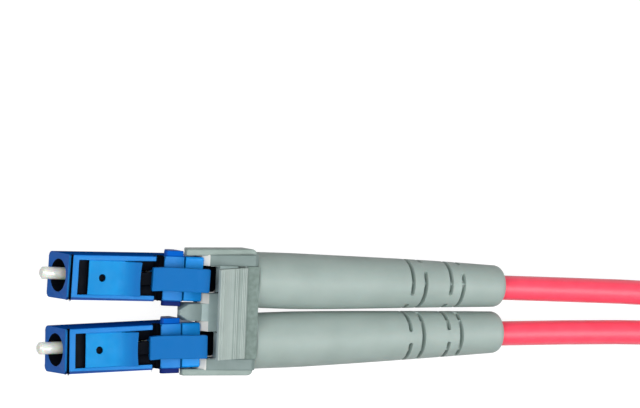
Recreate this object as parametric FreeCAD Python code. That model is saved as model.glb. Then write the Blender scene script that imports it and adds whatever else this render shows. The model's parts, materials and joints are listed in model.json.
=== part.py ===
import FreeCAD, Part
import math
import os

# Duplex fibre connector, LC style, on a pigtail of two round cords.
#
# Frame: millimetres. +X runs along the connector from the ferrules to the cords, +Y across it, +Z up.
# The origin is on the surface that the clip rests on, under the middle of the connector's length.
# Each plug is drawn straight along +X in a frame of its own, whose origin is the middle of the nose's
# front face, and is then turned by the splay and moved to its side. Plug a is at +Y, plug b at -Y.

Vector = FreeCAD.Vector
X_AXIS, Y_AXIS, Z_AXIS = Vector(1, 0, 0), Vector(0, 1, 0), Vector(0, 0, 1)
SIDES = {"a": 1, "b": -1}

# --- Layout ------------------------------------------------------------------------------------------------
PITCH = 6.25  # between the two plug axes at the clip's rear face
SPLAY = 1.72  # degrees that each plug axis turns outwards, towards its ferrule
AXIS_HEIGHT = 2.9  # of the plug axes over the resting surface
FIT_GAP = 0.05  # between a piece and the piece that it sits in
SWING_GAP = 0.05  # round the root of a moving arm

# --- Plug housing ------------------------------------------------------------------------------------------
NOSE_WIDTH = 4.52  # across and high
NOSE_LOWER_R = 0.55  # lower long edges
NOSE_UPPER_R = 0.12  # upper long edges
NOSE_CHAMFER = 0.12  # top edge of the front face
FRONT_GROOVE_X = (0.14, 0.44)  # groove across the top, behind the front face
FRONT_GROOVE_DEPTH = 0.4
MOUTH_D = 3.3  # round mouth that an adapter's sleeve enters
MOUTH_DEPTH = 4.0
SEAT_BORE_D = 2.36  # short bore behind the mouth, which stops the flange
CAVITY_D = 2.6  # spring chamber behind the seat
WINDOW_X = (1.15, 2.3)  # slot across the top, behind the front bar
WINDOW_WIDTH = 3.5
WINDOW_WALL = 0.08  # left over the mouth under the window
PLATE_DROP = 0.08  # of the plate between the rails, under the rails' tops
RAIL_END = 10.5
COLLAR_FRONT = 10.8
COLLAR_REAR = 13.1
COLLAR_CHAMFER = 0.1
NOTCH_DEPTH = 1.27  # of the step down between the rails and the collar
NOTCH_R = 0.6  # concave end of the rails
FLANGE_WIDTH = 5.65  # over the collar's two side flanges
FLANGE_LOW = -1.5
FLANGE_HIGH = 2.05
FLANGE_TOP_R = 0.55
FLANGE_R = 0.3
DIMPLE_X = 3.9
DIMPLE_D = 0.8
DIMPLE_DEPTH = 0.35

# --- Latch arm ---------------------------------------------------------------------------------------------
LATCH_ROOT_X = 6.6  # the bend where the arm flexes
LATCH_RISE = 17.0  # degrees
LATCH_THICK = 0.72
LATCH_SIDE_GAP = 0.05
SLIT = 0.13  # beside the shoulders
SLIT_START = 0.6  # along the arm from its root
SHOULDER_END = 1.67  # along the arm
NECK_END = 2.83  # along the arm
NECK_WIDTH = 1.3
NECK_THICK = 0.5
NECK_OVERLAP = 0.45  # of the neck under the shoulders and the tail
TAIL_WIDTH = 2.38
TAIL_THICK = 0.65
TAIL_BEND = 7.49  # along the arm, where the tail turns down
TAIL_END = 8.84
TAIL_DROP = 0.25  # of the tail's end from the bend
POCKET_WALL = 0.12  # left over the spring chamber under the arm
POCKET_GROOVE_FLOOR = 0.95  # of the groove that the arm's neck dips into
POCKET_GROOVE_GAP = 0.1  # beside the neck

# --- Ferrule, flange, spring and fibre ---------------------------------------------------------------------
FERRULE_D = 1.25
FERRULE_OUT = 1.96  # from the nose's face to the tip
FERRULE_CHAMFER = 0.2
FERRULE_SHANK_D = 0.94  # inside the flange
FLANGE_SEAT = 4.5  # front face of the hexagonal flange
FLANGE_GAP = 0.02  # between the flange and its seat
HEX_ACROSS = 2.2  # flats
HEX_LENGTH = 1.1
STEM_D = 1.6  # outside of the tube behind the hexagon
STEM_END = 9.0
SHANK_END = 7.0
SPRING_D = 2.04  # middle of the wire
WIRE = 0.3  # the wire is drawn square
SPRING_TURNS = 4
SPRING_STEPS = 12  # straight stretches in each turn
FIBRE_D = 0.9
FIBRE_START = 8.0

# --- Rear body and crimp sleeve ----------------------------------------------------------------------------
SPIGOT_FRONT = 10.0
SPIGOT_BORE_D = 1.5
BLOCK_FRONT = 13.3
BLOCK_REAR = 15.3
BLOCK_WIDTH = 4.5
BLOCK_CHAMFER = 0.15
BARREL_D = 2.7
BARREL_END = 22.0
SLEEVE_FRONT = 17.5
SLEEVE_REAR = 31.0
SLEEVE_WALL = 0.3

# --- Boot --------------------------------------------------------------------------------------------------
BOOT_FRONT = 17.3
BOOT_NECK_D = 4.4  # inside the clip
BOOT_SHOULDER = 21.5  # where the boot comes out of the clip
BOOT_TAPER_START = 26.5  # straight before it
BOOT_REAR = 50.7
BOOT_D_FRONT = 5.67
BOOT_D_REAR = 4.15
BOOT_TIP_CUT = 0.5  # bevel round the end
BOOT_SHOULDER_CUT = 0.25  # bevel round the shoulder
SLOT_X = (39.3, 40.8, 43.8, 45.25)
SLOT_WIDTH = 0.44
SLOT_CORE = 3.0  # across the square core between two opposite slots
SLOT_BRIDGE = 1.2  # width of each of a ring's two bridges
BOOT_TURN = {"a": -39.0, "b": 0.0}  # degrees from the crown to the first bridge

# --- Clip --------------------------------------------------------------------------------------------------
CLIP_FRONT = 15.45
CLIP_REAR = 21.35
CLIP_RIM = 2.5  # height of the rims over the plug axes
CLIP_SKIRT = 0.05  # height of the upper shell's lower edge over the plug axes
CLIP_NOSE_HEIGHT = 0.6  # of the upper shell's front faces, over an underside that slopes
CLIP_NOSE_SLOPE = 1.0  # along X, of that underside
FOOT_FRONT = 17.3  # the foot is what the clip stands on
FOOT_WALL = 0.225  # beside each bore at the clip's rear face
CLIP_CORNER_R = 1.2
CLIP_EDGE_R = 0.3
CLIP_BORE_D = BOOT_NECK_D + 2 * FIT_GAP
CLIP_SLOT_WIDTH = 3.6  # open underside of each bore
WALL_FRONT = 13.25
WALL_THICK = 0.66
WALL_GAP = 0.12  # between a side wall and the plug's square block
DIVIDER_TIP = 12.7
DIVIDER_TIP_WIDTH = 0.5
DIVIDER_WIDTH = PITCH - BLOCK_WIDTH  # the room between the two square blocks
DIVIDER_TAPER = 1.1
SADDLE_TOP = 2.75  # floor under the trigger
BAND_FRONT_TOP = 2.65
BAND_REAR_TOP = 3.1
BAND_WIDTH = 1.16
TAIL_NOTCH_WIDTH = 2.7
TAIL_NOTCH_REAR = 17.0

# --- Trigger -----------------------------------------------------------------------------------------------
TRIGGER_OVERHANG = 0.265  # past each latch tail's outer edge, at the clip's rear face
TRIGGER_WIDTH = PITCH + TAIL_WIDTH + 2 * TRIGGER_OVERHANG
TRIGGER_ROOT = (19.5, 3.3)
TRIGGER_RISE = 26.5  # degrees
TRIGGER_THICK = 0.8
TRIGGER_REACH = 5.0  # along the bar from its root
TRIGGER_SIDE_GAP = 0.1
UNDERCUT_LENGTH = 0.85  # under the front edge
UNDERCUT_HEIGHT = 0.55
LIP_HEIGHT = 0.12
LIP_LENGTH = 0.35
LIP_R = 0.12
GROOVES = ((4.45, 0.2, 0.12), (3.0, 1.6, 0.1), (1.6, 1.2, 0.1))  # along the bar, radius, depth
CRADLE_TOP = 3.2

# --- Cords, coil and ties ----------------------------------------------------------------------------------
CORD_D = 2.4
CORD_CLEARANCE = 0.1
# Each route after its start at the crimp sleeve, in the row frame.
ROUTES = {
    "a": ((29.3, 2.14, 2.87), (52.4, 1.4, 2.1), (67.0, -1.9, 1.5)),
    "b": ((29.3, -2.14, 2.87), (52.4, -2.3, 2.1), (67.0, -4.7, 1.5)),
}
ARC_SHARE = 0.45  # of the shorter run beside a turn
TIE_THICK = 0.4
TIE_WIDTH = 3.0
TIE_ANGLES = (60.0, 200.0)
COIL_X = 74.0
COIL_Y = 10.3
COIL_MIDDLE_R = 12.0
COIL_COLUMNS = 4
COIL_HEIGHT = 18.6

MIDDLE_X = (BOOT_REAR - FERRULE_OUT) / 2  # of the connector's length, in the plug's frame


# --- Helpers -----------------------------------------------------------------------------------------------
def block(x, y, z):
    """A box between two values on each axis."""
    low = Vector(min(x), min(y), min(z))
    return Part.makeBox(max(x) - low.x, max(y) - low.y, max(z) - low.z, low)


def rod(x_start, x_end, diameter):
    """A cylinder on the plug axis."""
    return Part.makeCylinder(diameter / 2, x_end - x_start, Vector(x_start, 0, 0), X_AXIS)


def cross_rod(x, z, radius, width):
    """A cylinder along Y, centred on the XZ plane."""
    return Part.makeCylinder(radius, width, Vector(x, -width / 2, z), Y_AXIS)


def prism(outline, width):
    """A polygon in the XZ plane, given a width along Y and centred on that plane."""
    corners = [Vector(x, -width / 2, z) for x, z in outline]
    return Part.Face(Part.makePolygon(corners + corners[:1])).extrude(Vector(0, width, 0))


def turned(outline):
    """A solid of revolution about the plug axis from (x, radius) corners."""
    corners = [Vector(x, 0, r) for x, r in outline]
    face = Part.Face(Part.makePolygon(corners + corners[:1]))
    return face.revolve(Vector(0, 0, 0), X_AXIS, 360)


def joined(pieces):
    """One solid from pieces that overlap."""
    return pieces[0].fuse(pieces[1:]).removeSplitter()


def filleted(shape, radius, wanted):
    """The shape with the straight edges rounded whose direction and middle the test wants."""
    edges = []
    for edge in shape.Edges:
        if len(edge.Vertexes) == 2 and isinstance(edge.Curve, Part.Line):
            start, end = (v.Point for v in edge.Vertexes)
            if wanted((end - start).normalize(), (start + end) / 2):
                edges.append(edge)
    return shape.makeFillet(radius, edges)


def along(direction, axis):
    """Whether a direction lies along an axis, either way."""
    return abs(abs(direction.dot(axis)) - 1) < 1e-6


def in_arm(root, rise, way):
    """A function that turns (distance along an arm, height over its middle) into (x, z)."""
    c, s = math.cos(math.radians(rise)), math.sin(math.radians(rise))

    def place(reach, height):
        return root[0] + way * (reach * c - height * s), root[1] + reach * s + height * c

    return place


def placed(shape, side):
    """A shape from the plug's frame, turned by the splay and moved to its side in the row frame."""
    moved = shape.copy()
    moved.rotate(Vector(CLIP_REAR, 0, 0), Z_AXIS, -SPLAY * SIDES[side])
    moved.translate(Vector(-MIDDLE_X, SIDES[side] * PITCH / 2, AXIS_HEIGHT))
    return moved


def lifted(shape):
    """A shape drawn with the plug's X and heights, on the middle plane of the row frame."""
    moved = shape.copy()
    moved.translate(Vector(-MIDDLE_X, 0, AXIS_HEIGHT))
    return moved


# --- Plug pieces, in the plug's frame ----------------------------------------------------------------------
HALF = NOSE_WIDTH / 2
PLATE_TOP = HALF - PLATE_DROP
LATCH_ROOT = (LATCH_ROOT_X, PLATE_TOP - LATCH_THICK / 2)


def plug_housing():
    """Square nose and rear collar with the mouth, the window, the rails and the opening under the latch."""
    body = block((0, COLLAR_REAR), (-HALF, HALF), (-HALF, HALF))
    body = filleted(body, NOSE_LOWER_R, lambda d, m: along(d, X_AXIS) and m.z < 0)
    body = filleted(body, NOSE_UPPER_R, lambda d, m: along(d, X_AXIS) and m.z > 0 and abs(m.y) > HALF - 0.01)
    flange_half = FLANGE_WIDTH / 2
    flange = block((COLLAR_FRONT, COLLAR_REAR), (-flange_half, flange_half), (FLANGE_LOW, FLANGE_HIGH))
    flange = filleted(flange, FLANGE_R, lambda d, m: along(d, Z_AXIS) and m.x < COLLAR_FRONT + 0.01)
    flange = filleted(flange, FLANGE_TOP_R, lambda d, m: along(d, X_AXIS) and m.z > FLANGE_HIGH - 0.01)
    body = joined([body, flange])

    front_chamfer = prism(((0, HALF - NOSE_CHAMFER), (NOSE_CHAMFER, HALF), (0, HALF)), NOSE_WIDTH)
    front_groove = block(FRONT_GROOVE_X, (-HALF, HALF), (HALF - FRONT_GROOVE_DEPTH, HALF))
    window = block(WINDOW_X, (-WINDOW_WIDTH / 2, WINDOW_WIDTH / 2), (MOUTH_D / 2 + WINDOW_WALL, HALF))
    plate_face = block(
        (WINDOW_X[1], LATCH_ROOT_X), (-WINDOW_WIDTH / 2, WINDOW_WIDTH / 2), (PLATE_TOP, HALF)
    )
    pocket = block(
        (LATCH_ROOT_X, RAIL_END), (-WINDOW_WIDTH / 2, WINDOW_WIDTH / 2), (CAVITY_D / 2 + POCKET_WALL, HALF)
    )
    groove_half = NECK_WIDTH / 2 + POCKET_GROOVE_GAP
    groove = block(
        (LATCH_ROOT_X + SLIT_START, RAIL_END), (-groove_half, groove_half), (POCKET_GROOVE_FLOOR, HALF)
    )
    root_relief = cross_rod(*LATCH_ROOT, LATCH_THICK / 2 + SWING_GAP, WINDOW_WIDTH)
    notch_floor = HALF - NOTCH_DEPTH
    notch = joined([
        block((RAIL_END, COLLAR_FRONT), (-HALF, HALF), (notch_floor, HALF)),
        cross_rod(RAIL_END, HALF - NOTCH_R, NOTCH_R, NOSE_WIDTH),
        block((RAIL_END - NOTCH_R, RAIL_END), (-HALF, HALF), (HALF - NOTCH_R, HALF)),
    ])
    edge = prism(
        ((COLLAR_FRONT, HALF - COLLAR_CHAMFER), (COLLAR_FRONT + COLLAR_CHAMFER, HALF), (COLLAR_FRONT, HALF)),
        NOSE_WIDTH,
    )
    dimple = Part.makeCylinder(DIMPLE_D / 2, DIMPLE_DEPTH, Vector(DIMPLE_X, 0, PLATE_TOP - DIMPLE_DEPTH))
    bores = joined([
        rod(0, MOUTH_DEPTH, MOUTH_D),
        rod(0, FLANGE_SEAT, SEAT_BORE_D),
        rod(FLANGE_SEAT - FLANGE_GAP, COLLAR_REAR, CAVITY_D),
    ])
    cuts = [front_chamfer, front_groove, window, plate_face, pocket, groove, root_relief, notch, edge, dimple, bores]
    return body.cut(cuts).removeSplitter()


def latch_arm():
    """Wide root with two shoulders, a low neck, and a narrow tail that turns down at its end."""
    at = in_arm(LATCH_ROOT, LATCH_RISE, 1)
    top, low = LATCH_THICK / 2, -LATCH_THICK / 2
    root_width = WINDOW_WIDTH - 2 * LATCH_SIDE_GAP
    shoulder_width = WINDOW_WIDTH - 2 * SLIT
    tail_low = top - TAIL_THICK
    neck_low, neck_top = low - NECK_THICK + FIT_GAP, low + FIT_GAP
    root = prism([at(0, low), at(SLIT_START, low), at(SLIT_START, top), at(0, top)], root_width)
    shoulders = prism(
        [at(SLIT_START, low), at(SHOULDER_END, low), at(SHOULDER_END, top), at(SLIT_START, top)],
        shoulder_width,
    )
    neck_start, neck_end = SHOULDER_END - NECK_OVERLAP, NECK_END + NECK_OVERLAP
    neck = prism(
        [at(neck_start, neck_low), at(neck_end, neck_low), at(neck_end, neck_top), at(neck_start, neck_top)],
        NECK_WIDTH,
    )
    heel = prism(
        [at(NECK_END, neck_top - FIT_GAP), at(neck_end, neck_top - FIT_GAP), at(neck_end, tail_low + FIT_GAP),
         at(NECK_END, tail_low + FIT_GAP)],
        NECK_WIDTH,
    )
    tail = prism(
        [at(NECK_END, tail_low), at(TAIL_BEND, tail_low), at(TAIL_END, tail_low - TAIL_DROP / 2),
         at(TAIL_END, top - TAIL_DROP), at(TAIL_BEND, top), at(NECK_END, top)],
        TAIL_WIDTH,
    )
    pivot = cross_rod(*LATCH_ROOT, LATCH_THICK / 2, root_width)
    return joined([pivot, root, shoulders, neck, heel, tail])


def ferrule():
    """Ceramic rod with a chamfered tip and a thinner shank in the flange."""
    radius, tip = FERRULE_D / 2, -FERRULE_OUT
    return turned((
        (tip, 0), (tip, radius - FERRULE_CHAMFER), (tip + FERRULE_CHAMFER, radius), (FLANGE_SEAT, radius),
        (FLANGE_SEAT, FERRULE_SHANK_D / 2), (SHANK_END, FERRULE_SHANK_D / 2), (SHANK_END, 0),
    ))


def ferrule_flange():
    """Hexagonal flange that seats in the housing, with the stem that the spring sits on."""
    corner = HEX_ACROSS / math.sqrt(3)
    points = [
        Vector(FLANGE_SEAT, corner * math.sin(math.radians(60 * k)), corner * math.cos(math.radians(60 * k)))
        for k in range(6)
    ]
    hexagon = Part.Face(Part.makePolygon(points + points[:1])).extrude(X_AXIS * HEX_LENGTH)
    return joined([hexagon, rod(FLANGE_SEAT + FIT_GAP, STEM_END, STEM_D)]).cut(
        rod(FLANGE_SEAT, STEM_END, FERRULE_SHANK_D))


def ferrule_spring():
    """Compression spring between the flange and the rear body, lofted through the wire's sections."""
    front, rear = FLANGE_SEAT + HEX_LENGTH, SPIGOT_FRONT
    half, radius = WIRE / 2, SPRING_D / 2
    advance = (rear - front - WIRE - FIT_GAP) / (SPRING_TURNS * SPRING_STEPS)
    sections = []
    for step in range(SPRING_TURNS * SPRING_STEPS + 1):
        x = front + half + step * advance
        corners = [Vector(x + along_x * half, 0, radius + outward * half)
                   for along_x, outward in ((-1, -1), (1, -1), (1, 1), (-1, 1))]
        section = Part.makePolygon(corners + corners[:1])
        section.rotate(Vector(0, 0, 0), X_AXIS, step * 360 / SPRING_STEPS)
        sections.append(section)
    return Part.makeLoft(sections, True, True)


def rear_body():
    """Spigot in the housing, square block behind it, and the barrel that the cord is crimped on."""
    half = BLOCK_WIDTH / 2
    square = block((BLOCK_FRONT, BLOCK_REAR), (-half, half), (-half, half))
    long_edges = [e for e in square.Edges if e.BoundBox.XLength > BLOCK_REAR - BLOCK_FRONT - FIT_GAP]
    square = square.makeChamfer(BLOCK_CHAMFER, long_edges)
    spigot = rod(SPIGOT_FRONT, BLOCK_FRONT + FIT_GAP, CAVITY_D - 2 * FIT_GAP)
    barrel = rod(BLOCK_REAR - FIT_GAP, BARREL_END, BARREL_D)
    return joined([square, spigot, barrel]).cut(rod(SPIGOT_FRONT, BARREL_END, SPIGOT_BORE_D))


def crimp_sleeve():
    """Metal sleeve over the barrel, which traps the cord's yarn."""
    bore = BARREL_D + 2 * FIT_GAP
    return rod(SLEEVE_FRONT, SLEEVE_REAR, bore + 2 * SLEEVE_WALL).cut(rod(SLEEVE_FRONT, SLEEVE_REAR, bore))


def buffered_fibre():
    """Thin tube with the fibre in it, from the flange's stem to the cord."""
    return rod(FIBRE_START, SLEEVE_REAR, FIBRE_D)


def boot(side):
    """Tapered bend relief with a neck in the clip and four rings of slots near its end."""
    neck, front, rear = BOOT_NECK_D / 2, BOOT_D_FRONT / 2, BOOT_D_REAR / 2
    sleeve_r = BARREL_D / 2 + FIT_GAP + SLEEVE_WALL + FIT_GAP
    cord_r = CORD_D / 2 + CORD_CLEARANCE
    body = turned((
        (BOOT_FRONT, sleeve_r), (BOOT_FRONT, neck), (BOOT_SHOULDER, neck),
        (BOOT_SHOULDER, front - BOOT_SHOULDER_CUT), (BOOT_SHOULDER + BOOT_SHOULDER_CUT, front),
        (BOOT_TAPER_START, front), (BOOT_REAR - BOOT_TIP_CUT, rear), (BOOT_REAR, rear - BOOT_TIP_CUT),
        (BOOT_REAR, cord_r), (SLEEVE_REAR, cord_r), (SLEEVE_REAR, sleeve_r),
    ))
    slots = []
    for index, x in enumerate(SLOT_X):
        reach, core, bridge = (x, x + SLOT_WIDTH), SLOT_CORE / 2, SLOT_BRIDGE / 2
        for way in (1, -1):
            slot = block(reach, (way * bridge, way * front), (-front, front))
            slot = slot.cut(block(reach, (0, way * core), (-core, core)))
            slot.rotate(Vector(0, 0, 0), X_AXIS, -BOOT_TURN[side] - 90 * index)
            slots.append(slot)
    return body.cut(slots)


# --- Clip and trigger, in the row frame --------------------------------------------------------------------
WALL_INNER = (
    PITCH / 2 + (CLIP_REAR - WALL_FRONT) * math.tan(math.radians(SPLAY)) + BLOCK_WIDTH / 2 + WALL_GAP
)


def clip_body():
    """Saddle with two bores open below, side walls, a pointed divider and the cradle of the trigger."""
    half, low = WALL_INNER + WALL_THICK, CLIP_SKIRT
    saddle = block((CLIP_FRONT, CLIP_REAR), (-half, half), (low, CLIP_RIM))
    saddle = filleted(saddle, CLIP_CORNER_R, lambda d, m: along(d, Z_AXIS) and m.x > CLIP_REAR - 0.01)
    inner = TRIGGER_WIDTH / 2 + TRIGGER_SIDE_GAP
    floor = block((CLIP_FRONT, CLIP_REAR), (-inner, inner), (CLIP_RIM - CLIP_EDGE_R, SADDLE_TOP))
    root_x, root_z = TRIGGER_ROOT
    root_r = TRIGGER_THICK / 2 + SWING_GAP
    cradle = block((root_x - root_r, CLIP_REAR), (-inner, inner), (CLIP_RIM, CRADLE_TOP))
    foot_half = (PITCH + CLIP_BORE_D) / 2 + FOOT_WALL
    foot = block((FOOT_FRONT, CLIP_REAR), (-foot_half, foot_half), (-AXIS_HEIGHT, CLIP_RIM - CLIP_EDGE_R))
    foot = filleted(foot, CLIP_CORNER_R, lambda d, m: along(d, Z_AXIS) and m.x > CLIP_REAR - 0.01)
    pieces = [saddle, floor, cradle, foot]
    for way in (1, -1):
        y_band = (way * inner, way * (inner + BAND_WIDTH))
        band = prism(
            ((CLIP_FRONT, low), (CLIP_FRONT, BAND_FRONT_TOP), (CLIP_REAR - 0.5, BAND_REAR_TOP),
             (CLIP_REAR, BAND_REAR_TOP - 0.3), (CLIP_REAR, low)),
            BAND_WIDTH,
        )
        band.translate(Vector(0, sum(y_band) / 2, 0))
        wall = block((WALL_FRONT, CLIP_FRONT + FIT_GAP), (way * half, way * WALL_INNER), (low, CLIP_RIM))
        wall = filleted(wall, CLIP_EDGE_R, lambda d, m: m.x < WALL_FRONT + 0.01 and along(d, Z_AXIS))
        pieces += [band, wall]
    tip, wide = DIVIDER_TIP_WIDTH / 2, DIVIDER_WIDTH / 2
    corners = [Vector(x, y, low) for x, y in (
        (DIVIDER_TIP, -tip), (DIVIDER_TIP + DIVIDER_TAPER, -wide), (CLIP_FRONT + FIT_GAP, -wide),
        (CLIP_FRONT + FIT_GAP, wide), (DIVIDER_TIP + DIVIDER_TAPER, wide), (DIVIDER_TIP, tip))]
    pieces.append(Part.Face(Part.makePolygon(corners + corners[:1])).extrude(Vector(0, 0, CLIP_RIM - low)))
    body = joined(pieces)
    for front, width in ((WALL_FRONT, 2 * half), (DIVIDER_TIP, DIVIDER_WIDTH)):
        brow = CLIP_RIM - CLIP_NOSE_HEIGHT
        body = body.cut(prism(
            ((front - 1, brow), (front, brow), (front + CLIP_NOSE_SLOPE, low), (front - 1, low)), width
        ))
    body = lifted(body)
    swing = block((CLIP_FRONT, root_x), (-inner, inner), (root_z - root_r, CRADLE_TOP))
    cuts = [lifted(cross_rod(root_x, root_z, root_r, 2 * inner)), lifted(swing)]
    for side in SIDES:
        bore = rod(CLIP_FRONT - 1, CLIP_REAR + 1, CLIP_BORE_D)
        below = block(
            (CLIP_FRONT - 1, CLIP_REAR + 1), (-CLIP_SLOT_WIDTH / 2, CLIP_SLOT_WIDTH / 2),
            (-AXIS_HEIGHT - 1, 0),
        )
        notch_half = TAIL_NOTCH_WIDTH / 2
        notch = block((CLIP_FRONT - 1, TAIL_NOTCH_REAR), (-notch_half, notch_half), (0, SADDLE_TOP + 1))
        cuts += [placed(shape, side) for shape in (bore, below, notch)]
    return body.cut(cuts).removeSplitter()


def clip_trigger():
    """Wide bar over both latch tails, with a lip, shallow grooves and a round root in the cradle."""
    at = in_arm(TRIGGER_ROOT, TRIGGER_RISE, -1)
    top, low = TRIGGER_THICK / 2, -TRIGGER_THICK / 2
    lip_start = TRIGGER_REACH - LIP_LENGTH
    bar = prism(
        [at(0, low), at(TRIGGER_REACH - UNDERCUT_LENGTH, low), at(TRIGGER_REACH, low + UNDERCUT_HEIGHT),
         at(TRIGGER_REACH, top + LIP_HEIGHT), at(lip_start, top + LIP_HEIGHT), at(lip_start, top),
         at(0, top)],
        TRIGGER_WIDTH,
    )
    lip_top = at(TRIGGER_REACH, top + LIP_HEIGHT)
    bar = filleted(bar, LIP_R, lambda d, m: along(d, Y_AXIS) and abs(m.x - lip_top[0]) < 0.01
                   and abs(m.z - lip_top[1]) < 0.01)
    bar = joined([bar, cross_rod(*TRIGGER_ROOT, TRIGGER_THICK / 2, TRIGGER_WIDTH)])
    grooves = [
        cross_rod(*at(reach, top + radius - depth), radius, TRIGGER_WIDTH) for reach, radius, depth in GROOVES
    ]
    return lifted(bar.cut(grooves))


# --- Cords, coil and ties, in the row frame ----------------------------------------------------------------
def cord_start(side):
    """Where a cord's tube starts, at the crimp sleeve's rear face."""
    return placed(Part.Vertex(SLEEVE_REAR, 0, 0), side).Point


def cord(side):
    """A round tube of straight runs joined by tangent arcs. Prints the arcs' radii and the tube's volume."""
    points = [cord_start(side)] + [Vector(*p) for p in ROUTES[side]]
    edges, start, length, radii = [], points[0], 0.0, []
    for before, here, after in zip(points, points[1:], points[2:]):
        way_in, way_out = (here - before).normalize(), (after - here).normalize()
        half_turn = way_in.getAngle(way_out) / 2
        set_back = ARC_SHARE * min((here - before).Length, (after - here).Length)
        radius = set_back / math.tan(half_turn)
        first, last = here - way_in * set_back, here + way_out * set_back
        middle_way = (way_out - way_in).normalize()
        middle = here + middle_way * (radius / math.cos(half_turn) - radius)
        edges += [Part.LineSegment(start, first).toShape(), Part.Arc(first, middle, last).toShape()]
        length += (first - start).Length + 2 * radius * half_turn
        radii.append(round(radius, 1))
        start = last
    edges.append(Part.LineSegment(start, points[-1]).toShape())
    length += (points[-1] - start).Length
    path = Part.Wire(edges)
    profile = Part.Wire(Part.makeCircle(CORD_D / 2, points[0], points[1] - points[0]))
    tube = path.makePipeShell([profile], True, False)
    share = tube.Volume / (math.pi * CORD_D**2 / 4 * length)
    print(f"cord_{side}: arc radii {radii} mm, length {length:.1f} mm, volume share {share:.4f}")
    return tube


COIL_INNER_R = COIL_MIDDLE_R - COIL_COLUMNS * CORD_D / 2
COIL_OUTER_R = COIL_MIDDLE_R + COIL_COLUMNS * CORD_D / 2
COIL_TOP = TIE_THICK + COIL_HEIGHT


def coil_section(grow, low):
    """The section of the coil's bundle in the XZ plane, grown by a band's thickness, above a height."""
    inner, outer, top = COIL_INNER_R - grow, COIL_OUTER_R + grow, COIL_TOP + grow
    corners = [Vector(r, 0, z) for r, z in ((inner, low), (outer, low), (outer, top), (inner, top))]
    return Part.Face(Part.makePolygon(corners + corners[:1]))


def cord_coil():
    """Outer shape of the coil that both cords are wound into."""
    ring = coil_section(0, TIE_THICK).revolve(Vector(0, 0, 0), Z_AXIS, 360)
    ring.translate(Vector(COIL_X, COIL_Y, 0))
    return ring


def coil_tie(angle):
    """Flat band round the coil's turns, curved as they are."""
    turn = math.degrees(TIE_WIDTH / COIL_OUTER_R)
    band = coil_section(TIE_THICK, 0).cut(coil_section(0, TIE_THICK)).revolve(Vector(0, 0, 0), Z_AXIS, turn)
    band.rotate(Vector(0, 0, 0), Z_AXIS, angle - turn / 2)
    band.translate(Vector(COIL_X, COIL_Y, 0))
    return band


# --- Assembly ----------------------------------------------------------------------------------------------
def all_nodes():
    """Every node's solid by its name, in the row frame."""
    nodes = {}
    plug_pieces = {
        "plug_housing": plug_housing(),
        "latch_arm": latch_arm(),
        "ferrule": ferrule(),
        "ferrule_flange": ferrule_flange(),
        "ferrule_spring": ferrule_spring(),
        "rear_body": rear_body(),
        "crimp_sleeve": crimp_sleeve(),
        "buffered_fibre": buffered_fibre(),
    }
    for side in SIDES:
        for name, shape in plug_pieces.items():
            nodes[f"{name}_{side}"] = placed(shape, side)
        nodes[f"boot_{side}"] = placed(boot(side), side)
        nodes[f"cord_{side}"] = cord(side)
    nodes["clip_body"] = clip_body()
    nodes["clip_trigger"] = clip_trigger()
    nodes["cord_coil"] = cord_coil()
    for number, angle in enumerate(TIE_ANGLES, start=1):
        nodes[f"coil_tie_{number}"] = coil_tie(angle)
    return nodes


def main():
    """Writes one STEP file for each node."""
    os.makedirs("parts", exist_ok=True)
    for name, shape in all_nodes().items():
        shape.exportStep(f"parts/{name}.step")
        box = shape.BoundBox
        print(
            f"{name}: solids {len(shape.Solids)}, valid {shape.isValid()}, volume {shape.Volume:.3f},"
            f" x {box.XMin:.2f} to {box.XMax:.2f}, y {box.YMin:.2f} to {box.YMax:.2f},"
            f" z {box.ZMin:.2f} to {box.ZMax:.2f}"
        )


main()
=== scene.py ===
"""Looks of a duplex fibre connector with its boots, clip and two coiled cords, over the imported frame."""
import json
import logging
import math
from dataclasses import dataclass, field
from enum import Enum
from typing import Any, Callable, Sequence

import bmesh
import bpy
import numpy as np
from bpy.types import ID, Material, Mesh, Node, NodeOutputs, NodeSocket, NodeTree, Object, bpy_prop_collection
from mathutils import Matrix, Vector

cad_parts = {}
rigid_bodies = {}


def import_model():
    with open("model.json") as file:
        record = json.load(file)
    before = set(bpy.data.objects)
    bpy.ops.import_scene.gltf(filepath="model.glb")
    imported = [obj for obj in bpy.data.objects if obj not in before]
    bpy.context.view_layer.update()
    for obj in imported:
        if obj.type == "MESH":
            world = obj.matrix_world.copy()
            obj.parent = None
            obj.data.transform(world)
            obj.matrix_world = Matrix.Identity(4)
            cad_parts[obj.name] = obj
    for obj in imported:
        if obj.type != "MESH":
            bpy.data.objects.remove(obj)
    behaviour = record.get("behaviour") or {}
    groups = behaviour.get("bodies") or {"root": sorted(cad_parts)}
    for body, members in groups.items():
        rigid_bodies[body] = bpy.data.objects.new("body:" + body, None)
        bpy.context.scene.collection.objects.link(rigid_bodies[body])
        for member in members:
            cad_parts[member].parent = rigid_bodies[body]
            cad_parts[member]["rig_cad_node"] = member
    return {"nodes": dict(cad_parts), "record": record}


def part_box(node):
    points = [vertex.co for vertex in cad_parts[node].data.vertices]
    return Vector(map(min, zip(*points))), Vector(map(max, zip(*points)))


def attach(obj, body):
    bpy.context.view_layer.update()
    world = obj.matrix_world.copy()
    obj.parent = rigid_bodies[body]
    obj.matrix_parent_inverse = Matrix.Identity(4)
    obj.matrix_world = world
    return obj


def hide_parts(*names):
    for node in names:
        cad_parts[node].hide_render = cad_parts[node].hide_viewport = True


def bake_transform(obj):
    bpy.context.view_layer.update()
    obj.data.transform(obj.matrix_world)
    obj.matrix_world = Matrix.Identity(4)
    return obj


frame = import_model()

LOG = logging.getLogger("duplex_connector")
MM = 0.001
SHARP_EDGE = math.radians(38)
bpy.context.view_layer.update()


class Side(Enum):
    """The two plugs. The value is the letter that their nodes end in."""

    A = "a"
    B = "b"


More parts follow.
